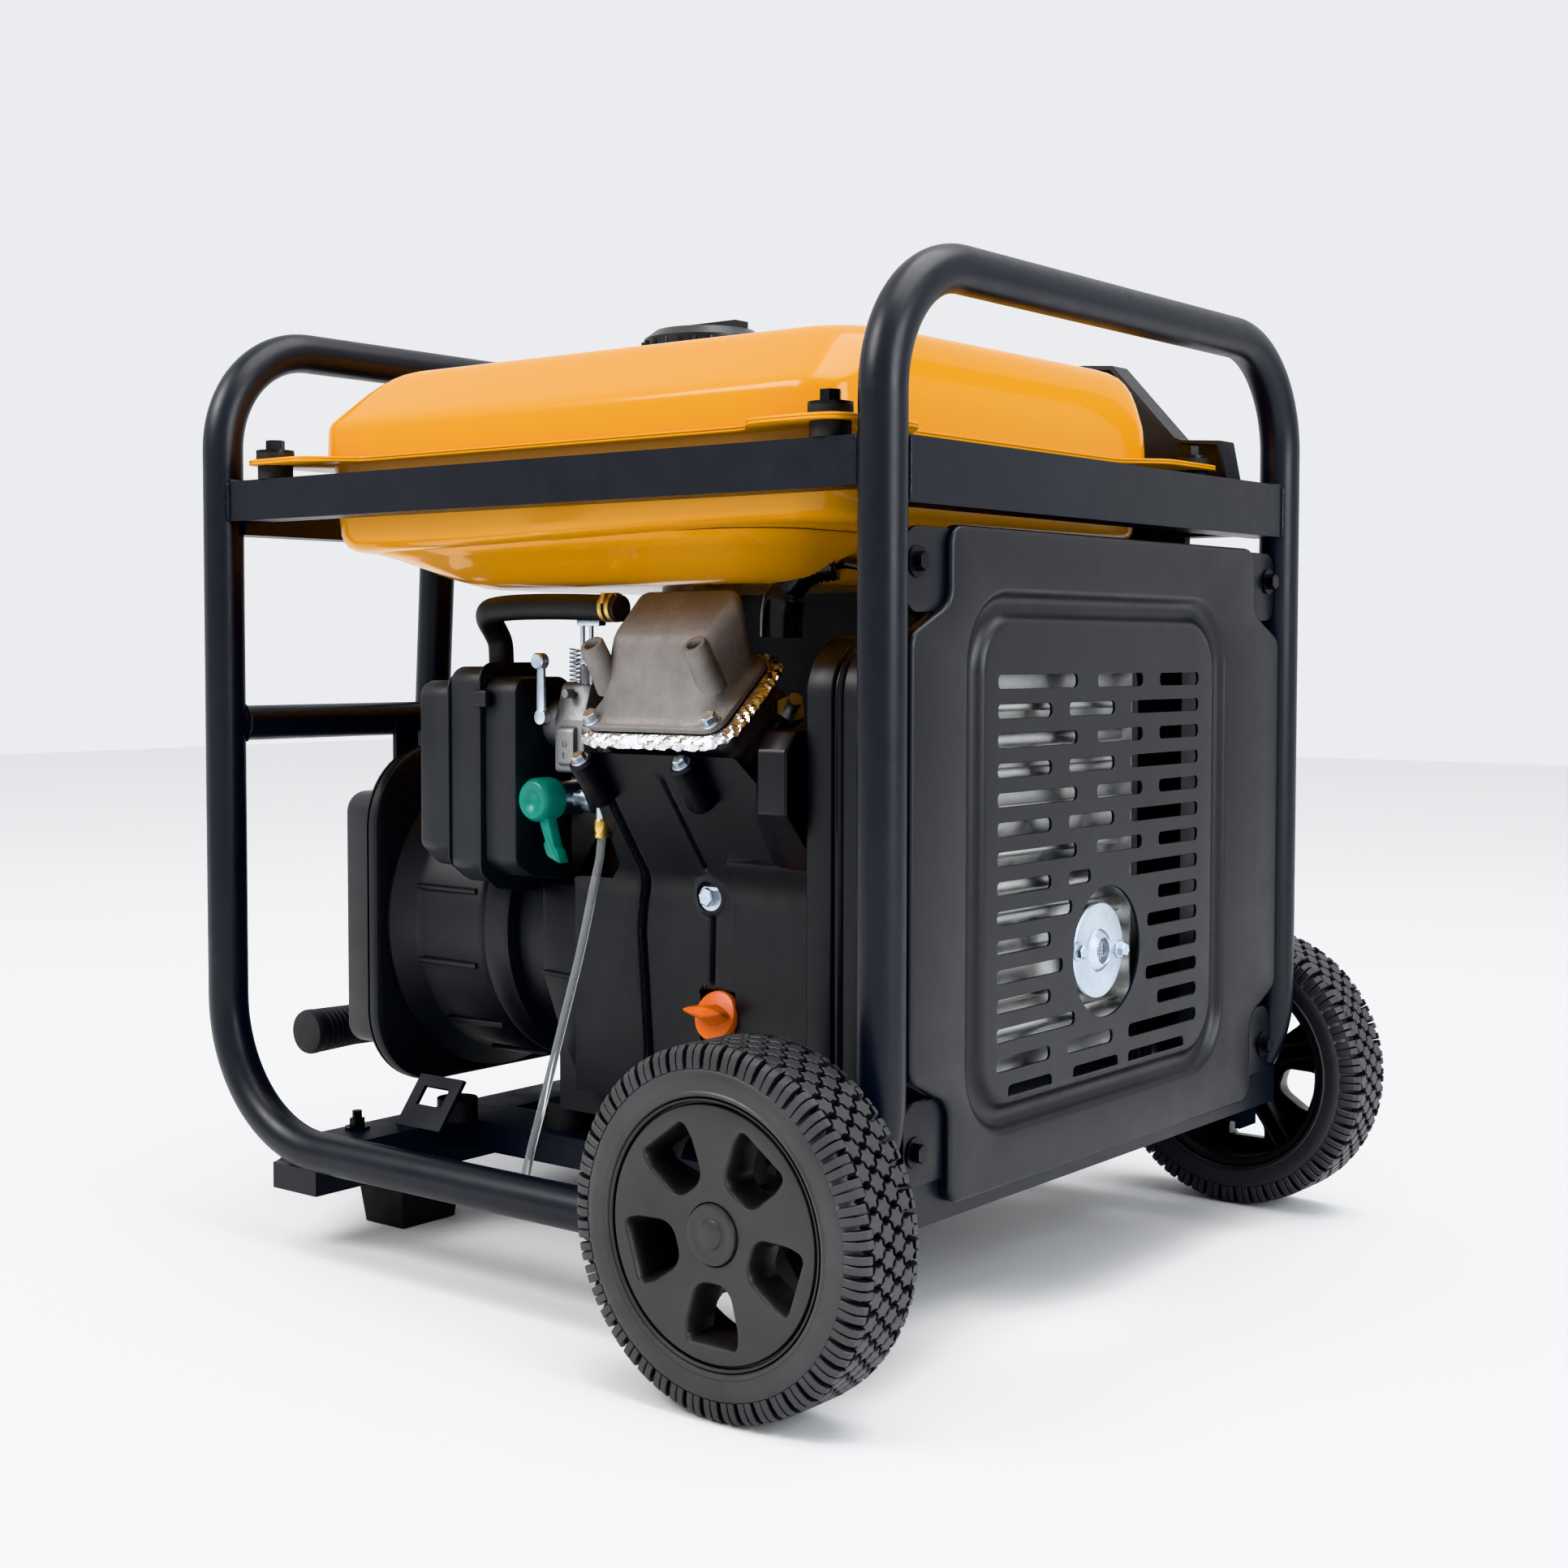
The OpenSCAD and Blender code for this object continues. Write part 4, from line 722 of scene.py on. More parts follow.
def hub_cap(side, name, node, body):
    bm = bmesh.new()
    lathe(bm, [(0.0, 27.5), (6.8, 27.5), (7.4, 27.2), (7.7, 26.5), (8.4, 26.1), (12.5, 26.5), (15.4, 26.9),
               (16.6, 26.4), (17.2, 25.2), (17.3, 21)], wheel_place(side), 64)
    piece(name, bm, "rim_black", body, (node,), sharp=40)


for side, tag in ((-1, "near"), (1, "far")):
    tyre(side, "tyre_tread_" + tag, "tyre_" + tag, "wheel_" + tag)
    rim(side, "spoked_rim_" + tag, "rim_" + tag, "wheel_" + tag)
    hub_cap(side, "rim_cap_" + tag, "hub_cap_" + tag, "wheel_" + tag)


# ---------- muffler panel ----------

PANEL_X = 297.5
CHANNEL = (-176, 131.5, 148, 456.5)
OUTLET = Vector((-12, 229))


def muffler_panel():
    """Pressed panel: a rounded rim, a moulded channel and staggered louvre slots."""
    bm = bmesh.new()
    y0, z0, y1, z1 = CHANNEL
    # Outside edge, from the back of the return lip to the front face
    outer = ((0, -8.0), (0, -2.8), (-0.6, -1.2), (-1.8, -0.3), (-3.6, 0))
    side = [(190.5, 101, 12), (190.5, 160, 14), (229.8, 178, 12),
            (229.8, 428, 12), (190.5, 446, 14), (190.5, 491, 12)]
    whole = side + [(-a, b, r) for a, b, r in side[::-1]]
    loops = [[at(PANEL_X + depth, p.x, p.y) for p in grow(soft_outline(whole, 8), by)] for by, depth in outer]
    loft(bm, loops, False, False)
    edge = grow(soft_outline(whole, 8), -3.6)
    mould = rect_outline(y0, z0, y1, z1, 46, 12, 1)
    flat_sheet(bm, [edge, mould], [False, True], lambda p: at(PANEL_X, p.x, p.y))
    # The channel's section, as a distance in from its outline and a depth
    section = [(0, 0), (1.4, -0.4), (2.8, -1.6), (4.4, -3.8), (6, -5.6), (8, -6.7), (10.5, -7), (13, -6.8),
               (15.4, -5.6), (17.4, -3.4), (19, -1.5), (20.6, -0.7), (23, -0.5)]
    loft(bm, [[at(PANEL_X + depth, p.x, p.y)
               for p in rect_outline(y0 + by, z0 + by, y1 - by, z1 - by, 46 - 0.75 * by, 12, 1)]
              for by, depth in section], False, False)
    field = rect_outline(y0 + 23, z0 + 23, y1 - 23, z1 - 23, 46 - 0.75 * 23, 12, 1)
    slots = []
    for i in range(15):
        z = 401 - i * 17.45
        row = ((-141, -50), (-26, 32), (54, 108)) if i % 2 == 0 else ((-141, -80), (-60, -4), (16, 108))
        if i == 14:
            row = ((-128, -78), (-53, 3), (16, 91))
        for a, b in row:
            # Slots beside the outlet stop short of it
            low, high = a, b
            gap = math.sqrt(max(54 * 54 - (z - OUTLET.y) ** 2, 0))
            if gap > 0:
                if low < OUTLET.x - gap < high:
                    high = OUTLET.x - gap
                elif low < OUTLET.x + gap < high:
                    low = OUTLET.x + gap
                elif OUTLET.x - gap <= low and high <= OUTLET.x + gap:
                    continue
            if high - low > 10:
                slots.append(rect_outline(low, z - 4.5, high, z + 4.5, 3.4, 5, 1))
    outlet = [OUTLET + p for p in ring_of(42, 72)]
    sheet = [field, outlet] + slots
    cuts = [False] + [True] * (len(slots) + 1)
    front = PANEL_X - 0.5
    flat_sheet(bm, sheet, cuts, lambda p: at(front, p.x, p.y))
    for hole in slots + [outlet]:
        loft(bm, [[at(front + depth, p.x, p.y) for p in grow(hole, by)]
                  for by, depth in ((0, 0), (-0.3, -0.35), (-0.35, -1.9), (0.6, -2))], False, False)
    # Back of the sheet
    back = PANEL_X - 2.5
    flat_sheet(bm, sheet, cuts, lambda p: at(back, p.x, p.y))
    return bm


def panel_sides(bm):
    """Tabs that the corner bolts hold, set back from the sheet."""
    for side in (-1, 1):
        for z, way in ((136.5, 1), (469, -1)):
            low, high = z - 24 + way * 4, z + 24 + way * 4
            outline = soft_outline([(side * 184, low, 2), (side * 229.5, low, 12),
                                    (side * 229.5, high, 12), (side * 184, high, 2)], 6)
            slab(bm, outline, on_x, PANEL_X - 8, PANEL_X - 5, 0.6)


panel = muffler_panel()
panel_sides(panel)
piece("louvred_panel", panel, "panel_black", stands_for=("muffler_panel",), sharp=38)


# ---------- engine ----------

CRANK_Z = 214
TILT = math.radians(40.5)


def cyl(x, across, along):
    """A point from its X, its distance across the cylinder and its distance along it."""
    return at(x, across * math.cos(TILT) - along * math.sin(TILT),
              CRANK_Z + across * math.sin(TILT) + along * math.cos(TILT))


def between(a, b, t):
    return [(p[0] + (q[0] - p[0]) * t, p[1] + (q[1] - p[1]) * t, p[2] + (q[2] - p[2]) * t)
            for p, q in zip(a, b)]


def hex_bolt(bm, foot, way, across, height, washer, thick):
    """Flanged hexagon head standing on foot, facing way; sizes in millimetres."""
    way = way.normalized()
    side = way.orthogonal().normalized()
    other = way.cross(side)

    def ring(radius, rise, count, turn=0.0):
        return [foot + way * rise * MM + radius * MM * (math.cos(2 * math.pi * k / count + turn) * side
                                                       + math.sin(2 * math.pi * k / count + turn) * other)
                for k in range(count)]
    loft(bm, [ring(washer / 2, 0, 32), ring(washer / 2, thick * 0.7, 32),
              ring(washer / 2 - thick * 0.4, thick, 32)])
    half = across / 2 / math.cos(math.pi / 6)
    loft(bm, [ring(half, thick * 0.5, 6), ring(half, thick + height - 0.8, 6),
              ring(half * 0.86, thick + height, 6)])


def valve_cover():
    bm = bmesh.new()
    base = [(5, -28, 15), (104, -28, 18), (110, 33, 14), (5, 33, 14)]
    top = [(15, 6, 9), (99, 6, 12), (114, 50, 12), (22, 50, 9)]
    loops = []
    for along, t, inset in ((235, 0, -5), (235.8, 0, -2.6), (237.6, 0.03, -0.9), (241, 0.08, 0),
                            (258, 0.5, 0.4), (273, 0.84, 0), (277.6, 0.93, 0.9), (280.2, 0.98, 2.6),
                            (281.2, 1, 5.2)):
        outline = grow(soft_outline(between(base, top, t), 8), -inset)
        loops.append([cyl(p.x, p.y, along - 7 * t * ease(p.y, 46, 2)) for p in outline])
    loft(bm, loops)
    slab(bm, rect_outline(-2, -36, 114, 36, 12, 8), cyl, 231, 235.2, 0.9)
    for x in (9, 97):
        # Tubular boss that leans along the cylinder
        profile = [(4.4, 262), (4.4, 276.2), (5.2, 277.2), (7.4, 277.2), (8.4, 276), (8.8, 262), (10, 244)]
        lathe(bm, profile, lambda r, h, turn, x=x: cyl(
            x + r * math.cos(turn), -2 + r * math.sin(turn) - (277 - h) * 0.12, h), 32)
        loft(bm, [[cyl(x + r * math.cos(0.4 * k), -3.4 + r * math.sin(0.4 * k), h) for k in range(15)]
                  for r, h in ((4.5, 264), (4.3, 263))])
    piece("cast_valve_cover", bm, "cover_aluminium", stands_for=("valve_cover",), sharp=46)

    # Crinkled foil that sticks out round the flange
    rng = random.Random(11)
    bm = bmesh.new()
    core = rect_outline(-3, -37, 115, 37, 15, 14, 26)
    loops = []
    count = len(core)
    waves = [(rng.uniform(0.2, 0.7), rng.randint(12, 60), rng.uniform(0, 6.28)) for _ in range(10)]
    for by, lift in ((-3, 0.2), (0, 0.5), (1.8, 0.1), (3.6, -0.5), (5.4, -1.2), (7.2, -2.2), (8.8, -3.2)):
        loop = []
        for i, p in enumerate(grow(core, by)):
            swing = sum(size * math.sin(2 * math.pi * freq * i / count + phase + by * 0.9)
                        for size, freq, phase in waves)
            edge = min(max(by, 0) / 6, 1)
            jitter = rng.uniform(-0.25, 0.25) * edge
            crumple = (swing * 0.6 + rng.uniform(-0.22, 0.22)) * edge
            loop.append(cyl(p.x + jitter, p.y + jitter, 230 + lift + crumple))
        loops.append(loop)
    loft(bm, loops, False, False)
    under = [[v + Vector((0, 0.1, -0.5)) * MM for v in loop] for loop in loops]
    loft(bm, under, False, False)
    piece("foil_gasket", bm, "foil", stands_for=("cover_gasket",), sharp=12)


def poly_points(line, step, offsets):
    """Points beside a polyline, for a finer mesh there."""
    out = []
    for a, b in zip(line, line[1:]):
        a, b = Vector(a), Vector(b)
        count = max(int((b - a).length / step), 1)
        normal = Vector((-(b - a).y, (b - a).x)).normalized()
        for k in range(count + 1):
            for off in offsets:
                out.append(a.lerp(b, k / count) + normal * off)
    return out


def line_gap(p, line):
    """Distance from a point to a polyline."""
    best = 1e9
    for a, b in zip(line, line[1:]):
        a, b = Vector(a), Vector(b)
        t = min(max((p - a).dot(b - a) / (b - a).length_squared, 0), 1)
        best = min(best, (p - a.lerp(b, t)).length)
    return best


def relief_sheet(bm, outline, spacing, extra, place):
    """A sheet with points spread inside its outline, so that place can shape it."""
    edges = [(k, (k + 1) % len(outline)) for k in range(len(outline))]
    low = Vector((min(p.x for p in outline), min(p.y for p in outline)))
    high = Vector((max(p.x for p in outline), max(p.y for p in outline)))
    points = list(outline)
    for i in range(int((high.x - low.x) / spacing)):
        for j in range(int((high.y - low.y) / spacing)):
            points.append(low + Vector(((i + 0.5 + 0.25 * (j % 2)) * spacing, (j + 0.5) * spacing)))
    points += extra
    flat, _, faces, _, _, _ = geometry.delaunay_2d_cdt(points, edges, [], 1, 0.05)
    made = [bm.verts.new(place(v)) for v in flat]
    for tri in faces:
        bm.faces.new([made[i] for i in tri])


def dense(corners, step):
    """Closed outline with points no further apart than step."""
    out = []
    for a, b in zip(corners, corners[1:] + corners[:1]):
        count = max(int((b - a).length / step), 1)
        out += [a.lerp(b, k / count) for k in range(count)]
    return out


def shroud():
    bm = bmesh.new()
    twin = ((-3, 340), (3, 268), (-2, 250), (-4, 229), (2, 150), (2, 118))
    lone = ((53, 335), (60, 276))
    short = ((60, 241), (59, 199))

    def depth(p):
        """How far the face stands out at a point, in millimetres."""
        x, z = p
        out = 0.0
        for off in (-2.6, 2.6):
            gap = line_gap(Vector((x + off, z)), twin)
            out -= 2.5 * math.exp(-(gap / 1.2) ** 2)
        out += 1.6 * math.exp(-(line_gap(Vector((x, z)), twin) / 1.5) ** 2)
        for line in (lone, short):
            out -= 3.0 * math.exp(-(line_gap(p, line) / 1.7) ** 2)
        out += 5.0 * ease(x, 80.5, 83) * (1 - ease(z, 281, 285))
        out -= 5.0 * ease(x, 49, 50) * (1 - ease(x, 80, 81)) * (1 - ease(z, 193, 194))
        reach = math.hypot(x - 58, z - 256)
        out += 1.5 * (1 - ease(reach, 11, 14.5)) - 2.6 * (1 - ease(reach, 8.5, 10.5))
        return out

    def face_y(z):
        bend = z - 262
        return -119 - 0.589 * (bend if bend > 10 else (bend + 10) ** 2 / 40 if bend > -10 else 0)

    def place(p, back=0.0):
        return at(p.x, face_y(p.y) - depth(p) + back, p.y)
    outline = soft_outline([(-66, 112, 2), (159, 112, 2), (159, 316, 3), (136, 330, 6), (122, 352, 3),
                            (-12, 352, 6), (-17, 274, 4), (-30, 262, 4), (-66, 262, 3)], 4)
    outline = dense(outline, 3)
    extra = []
    for off in (-2.6, 2.6):
        extra += poly_points([(a - off, b) for a, b in twin], 2, (-2.4, -1.6, -0.8, 0, 0.8, 1.6, 2.4))
    for line in (lone, short):
        extra += poly_points(line, 2, (-3.2, -2.1, -1.1, 0, 1.1, 2.1, 3.2))
    extra += poly_points(((81.8, 114), (81.8, 283), (157, 283)), 3, (-1.4, -0.5, 0.5, 1.4))
    extra += poly_points(((49.5, 114), (49.5, 193.5), (80.5, 193.5)), 3, (-0.6, 0, 0.6))
    for reach in (8.5, 9.5, 10.5, 11.5, 13, 14.5):
        extra += [Vector((58, 256)) + spot(reach, 0.2 * k) for k in range(31)]
    low = Vector((-65, 113))
    extra = [p for p in extra if p.y > 113.5 and p.x > low.x]
    relief_sheet(bm, outline, 3.2, extra, place)
    loft(bm, [[place(p) for p in outline], [place(p, 1.2) for p in grow(outline, 0.4)],
              [place(p, 5) for p in grow(outline, 0.4)]], False, False)
    # Adaptor beside it, with its slanted lower corner and a ridge
    plate = soft_outline([(-64, 110, 3), (-64, 255, 4), (-105, 255, 5), (-104, 187, 3), (-84, 140, 4)], 5)
    slab(bm, plate, on_y, -112, -107, 1.2)
    ridge = soft_outline([(-104, 189, 1), (-66, 187, 1), (-66, 190, 1), (-104, 192, 1)], 3)
    slab(bm, ridge, on_y, -114, -108, 0.6)
    # Screw bosses up to the head
    for x in (-4, 84):
        lathe(bm, [(0, 217), (3, 217), (7.6, 217), (8.9, 215.6), (9.2, 200), (11, 186), (9, 182)],
              lambda r, h, turn, x=x: cyl(x + r * math.cos(turn), -49 + r * math.sin(turn), h), 40)
    # Duct that joins the fan housing
    loops = []
    for x, pull in ((122, 17), (123.5, 15), (136, 1.6), (138, 0), (158.5, 0), (160, 1.2)):
        duct = soft_outline([(-168 + pull, 318 - pull * 0.2, 4), (-168 + pull, 357 - pull * 0.4, 5),
                             (-158 + pull * 0.6, 370 - pull * 0.6, 5), (-114, 370 - pull * 0.6, 2),
                             (-114, 262, 2), (-119, 262, 2), (-150 + pull * 0.7, 298 - pull * 0.4, 8)], 5)
        loops.append([at(x, p.x, p.y) for p in duct])
    loft(bm, loops)
    piece("moulded_shroud", bm, "shroud_black", stands_for=("shroud",), sharp=38)


def fan_case():
    bm = bmesh.new()
    base = rect_outline(-151, 107, 151, 429, 40, 10)
    stack(bm, base, on_x, ((161, 4), (161.8, 1.4), (163.4, 0), (181, 0), (182, 0.5), (183, 2.4), (184.6, 2.8),
                           (186, 2.2), (187, -1.2), (188.4, -1.9), (190.4, -1.2), (191.4, 0), (226, 0),
                           (228, 1.2), (229, 4)))
    piece("fan_case", bm, "shroud_black", stands_for=("fan_housing",), sharp=40)


def air_filter():
    bm = bmesh.new()

    def layer(x0, x1, y0, y1, z0, z1, slant, edge):
        outline = soft_outline([(y0, z1, 12), (y0, z0 + slant, 10), (y0 + 16, z0, 10),
                                (y1, z0 - slant * 0.5, 8), (y1, z1, 12)], 6)
        slab(bm, outline, on_x, x0, x1, edge)
    layer(-183, -149.5, -158, -103, 266, 398, 14, 4)
    layer(-150, -148.4, -161, -101, 258, 404, 12, 0.7)
    layer(-149, -116.5, -160, -101, 256, 408, 12, 3.5)
    layer(-117, -115.4, -162, -100, 252, 411, 12, 0.7)
    piece("filter_cover_shell", bm, "filter_black", stands_for=("air_filter_cover",), sharp=36)
    bm = bmesh.new()
    layer(-115.6, -84, -159, -102, 262, 401, 10, 3)
    slab(bm, rect_outline(-166, 380, -160, 392, 2, 4), on_x, -119, -106, 1)
    rod(bm, at(-84.5, -118, 368), at(-81.8, -118, 368), 17 * MM, 32)
    piece("filter_case_shell", bm, "filter_black", stands_for=("air_filter_case",), sharp=36)


def hoses():
    # Breather hose with its clamp
    path = [(8.6, -152, 447), (-14, -152, 448), (-50, -153, 449), (-84, -153, 449), (-106, -152, 448),
            (-120, -148, 446), (-129, -140, 441), (-132, -131, 433), (-132, -126, 424), (-132, -125, 409.2)]
    bm = bmesh.new()
    tube(bm, smooth_path([at(*p) for p in path], 8), 8.8 * MM, 28)
    piece("breather_pipe", bm, "hose_black", stands_for=("breather_hose",), sharp=60)
    bm = bmesh.new()
    for x in (-3, 3.2):
        loops = [[at(x + dx, -152 + r * math.cos(math.pi * k / 20), 447.8 + r * math.sin(math.pi * k / 20))
                  for k in range(40)] for dx, r in ((-1.7, 8.8), (-1.6, 9.8), (1.6, 9.8), (1.7, 8.8))]
        loft(bm, loops, False, False)
    rod(bm, at(0, -162, 450), at(0, -160, 457), 1.8 * MM, 12)
    piece("hose_clamp", bm, "brass")
    # Plug boot: a glossy sleeve, an elbow and a ribbed collar
    sleeve = ((118, -120, 428), (119, -120, 446), (124, -118.5, 461), (136, -112, 472), (151, -104, 475))
    path = smooth_path([at(*p) for p in sleeve], 8)
    radii = []
    for i in range(len(path)):
        t = i / (len(path) - 1)
        size = 13.4 if t < 0.34 else 13.4 - 2.4 * ease(t, 0.34, 0.46)
        if t > 0.62:
            size = 10 + 1.3 * (0.5 + 0.5 * math.sin(t * 95))
        radii.append(size * MM)
    bm = bmesh.new()
    tube(bm, path, 0, 32, radii=radii)
    piece("plug_sleeve", bm, "boot_black", stands_for=("plug_boot",), sharp=60)
    lead = ((150, -104.4, 475), (161.6, -104, 475), (174, -100, 471), (185, -92, 460), (193, -80, 447),
            (197, -66, 434.2))
    bm = bmesh.new()
    tube(bm, smooth_path([at(*p) for p in lead], 8), 3.9 * MM, 20)
    piece("plug_lead", bm, "boot_black", stands_for=("ignition_lead",), sharp=60)


def oil_plug():
    """Orange screw plug with a waisted wing; it turns with its own body."""
    up = math.radians(18)
    origin = Vector((68, -106, 172))

    def place(x, across, out):
        y = -out * math.cos(up) + across * math.sin(up)
        z = out * math.sin(up) + across * math.cos(up)
        return at(origin.x + x, origin.y + y, origin.z + z)
    bm = bmesh.new()
    lathe(bm, [(0, 23.2), (14, 23.2), (16.2, 22.4), (17, 20.6), (17, 17.4), (16, 16), (11, 16), (10.9, -12),
               (0, -12)],
          lambda r, h, turn: place(*spot(r, turn), h), 56)
    loops = []
    for out, wide, thick in ((21, 13, 5.4), (24, 13.4, 4.4), (29, 15.2, 3.4), (33, 16.4, 3), (36, 16.2, 2.7),
                             (37.2, 14.6, 1.8)):
        loop = []
        for k in range(32):
            turn = 2 * math.pi * k / 32
            c, s = math.cos(turn), math.sin(turn)
            lobe = 0.62 + 0.38 * abs(c)
            loop.append(place(wide * abs(c) ** 0.8 * (1 if c > 0 else -1), thick * s / max(lobe, 0.5), out))
        loops.append(loop)
    loft(bm, loops)
    piece("filler_plug", bm, "cap_orange", "oil_plug", ("oil_cap",), sharp=40)


def grips():
    """Ribbed rubber sleeves on the cross bar of the tow handle."""
    pivot = Vector((-332.5, 508))
    lean = math.radians(3.3)

    def place(y, a, b, flip):
        # a is across and b along the stem, from the grip bar's centre
        reach = -388 + b
        return at(pivot.x + a * math.cos(lean) + reach * math.sin(lean), flip * y,
                  pivot.y - a * math.sin(lean) + reach * math.cos(lean))
    bm = bmesh.new()
    for flip in (-1, 1):
        profile = [(0, 122), (13.5, 122), (16.4, 121), (17.4, 118.6), (17.4, 114.5)]
        y = 112.5
        while y > 40:
            sway = 16.0 + 1.2 * abs(y - 78) / 40
            dip = sway - 0.9
            profile += [(sway, y), (sway, y - 1.8), (dip, y - 2.5), (dip, y - 4.1), (sway, y - 4.8)]
            y -= 5
        profile += [(17.2, 38), (17.4, 35.6), (16.4, 32.6), (13.4, 32)]
        lathe(bm, profile, lambda r, h, turn, flip=flip: place(h, *spot(r, turn), flip), 48)
    piece("ribbed_grips", bm, "grip_rubber", "tow_handle", ("handle_grips",), sharp=40)


def valve_knob():
    """Teal knob with its flat lever, and the brass ring of the drain."""
    bm = bmesh.new()
    c = Vector((-68, -140, 317))
    profile = [(0, -16.6), (4, -16.6), (5.4, -17.6), (9.6, -19.6), (11.4, -19.8), (13, -18.8), (14.8, -16),
               (15.2, -13), (15.2, -3), (14.6, -0.4), (0, -0.4)]
    lathe(bm, profile, about_y(c.x, c.z, c.y), 56)
    lean = math.radians(-20)
    arm = soft_outline([(-6.6, -10, 1), (-5.2, -32, 2), (-7.4, -33.5, 1.5), (-7.4, -43.5, 3), (7.4, -43.5, 3),
                        (7.4, -33.5, 1.5), (5.2, -32, 2), (6.6, -10, 1)], 5)
    c_lean, s_lean = math.cos(lean), math.sin(lean)
    turned = [Vector((p.x * c_lean + p.y * s_lean, p.x * s_lean + p.y * c_lean)) for p in arm]
    slab(bm, turned, lambda a, b, h: at(c.x + a, h, c.z + b), -154, -145, 1.4)
    piece("valve_knob", bm, "lever_teal", "valve_lever", ("fuel_lever",), sharp=40)
    bm = bmesh.new()
    lathe(bm, [(3.0, 292.5), (5.0, 292.8), (5.3, 294), (4.6, 296), (5.3, 298), (5.2, 304), (4.4, 305.5)],
          about_z(-20, -141), 28)
    piece("drain_ring", bm, "brass")


valve_cover()
shroud()
fan_case()
air_filter()
hoses()
oil_plug()
grips()
valve_knob()


def engine_bolts():
    """Zinc screws on the cover, the shroud and the outlet flange."""
    bm = bmesh.new()
    along = cyl(0, 0, 1) - cyl(0, 0, 0)
    for x in (4, 106):
        hex_bolt(bm, cyl(x, -29, 235), along, 9, 5.5, 13, 1.2)
    for x in (-4, 84):
        hex_bolt(bm, cyl(x, -49, 217), along, 8, 4, 13, 1.2)
    hex_bolt(bm, at(58, -118, 256), Vector((0, -1, 0)), 11, 5.5, 20, 1.6)
    for side in (-1, 1):
        hex_bolt(bm, at(291, OUTLET.x + side * 26, OUTLET.y - side * 2), Vector((1, 0, 0)), 8, 4, 12, 1.2)
    piece("zinc_screws", bm, "zinc", stands_for=("engine_bolts",), sharp=30)


def carburettor():
    """Grey casting with its bowl, and the zinc linkage above it."""
    bm = bmesh.new()
    body = soft_outline([(-148, 336, 3), (-148, 372, 5), (-140, 398, 6), (-96, 398, 5), (-90, 372, 4),
                         (-90, 336, 3)], 4)
    slab(bm, body, on_x, -58, -30, 2.2)
    ear = soft_outline([(-152, 342, 4), (-152, 366, 4), (-140, 372, 4), (-140, 338, 4)], 4)
    slab(bm, ear, on_x, -52, -36, 1.5)
    lathe(bm, [(0, 336), (13, 336), (21, 338.5), (23, 342), (23, 360), (25, 361), (25, 365), (22, 366)],
          about_z(-48, -120), 40)
    rod(bm, at(-48, -120, 330), at(-48, -120, 337), 6 * MM, 16, 0.8 * MM)
    # Neck to the filter and the flange towards the head
    rod(bm, at(-81.5, -118, 368), at(-8, -118, 368), 17 * MM, 32)
    slab(bm, soft_outline([(-146, 344, 9), (-146, 392, 9), (-90, 392, 9), (-90, 344, 9)], 5),
         on_x, -12, -6, 1)
    for y in (-139, -97):
        hex_bolt(bm, at(-30, y, 368), Vector((1, 0, 0)), 8, 4, 11, 1)
    rod(bm, at(-38, -136, 396), at(-38, -136, 409), 5 * MM, 18, 0.8 * MM)
    for z in (348, 356, 390):
        rod(bm, at(-44, -152, z), at(-44, -144, z), 3.2 * MM, 14, 0.6 * MM)
    piece("carburettor_casting", bm, "cast_aluminium", stands_for=("carburettor",), sharp=34)
    bm = bmesh.new()
    bar = soft_outline([(-46, 410, 1), (-46, 413, 1), (-22, 413, 1), (-22, 410, 1)], 3)
    slab(bm, bar, on_y, -142, -129, 0.4)
    for x, y in ((-40, -138), (-32, -138)):
        rod(bm, at(x, y, 394), at(x, y, 438), 1.5 * MM, 12)
    strap = soft_outline([(-43, 436, 1.5), (-43, 441, 1.5), (-22, 441, 1.5), (-22, 436, 1.5)], 3)
    slab(bm, strap, on_y, -141, -134, 0.5)
    wind = about_z(-36, -150)
    coil = [wind(3.4, 398 + k * 0.33, k * 0.7) for k in range(70)]
    tube(bm, coil, 0.6 * MM, 8)
    piece("throttle_linkage", bm, "zinc", sharp=34)
    # Choke lever, which turns on its own body
    bm = bmesh.new()
    rod(bm, at(-62, -158, 374), at(-62, -151.3, 374), 5.4 * MM, 24, 0.8 * MM)
    arm = soft_outline([(-66, 370, 4), (-65, 409, 4), (-59, 409, 4), (-58, 370, 4)], 5)
    slab(bm, arm, on_y, -157, -154.6, 0.4)
    lathe(bm, [(0, -161), (4.8, -161), (5.6, -160), (5.6, -154), (0, -153)],
          about_y(-62, 412), 28)
    piece("choke_arm", bm, "zinc", "choke", ("choke_lever",), sharp=34)


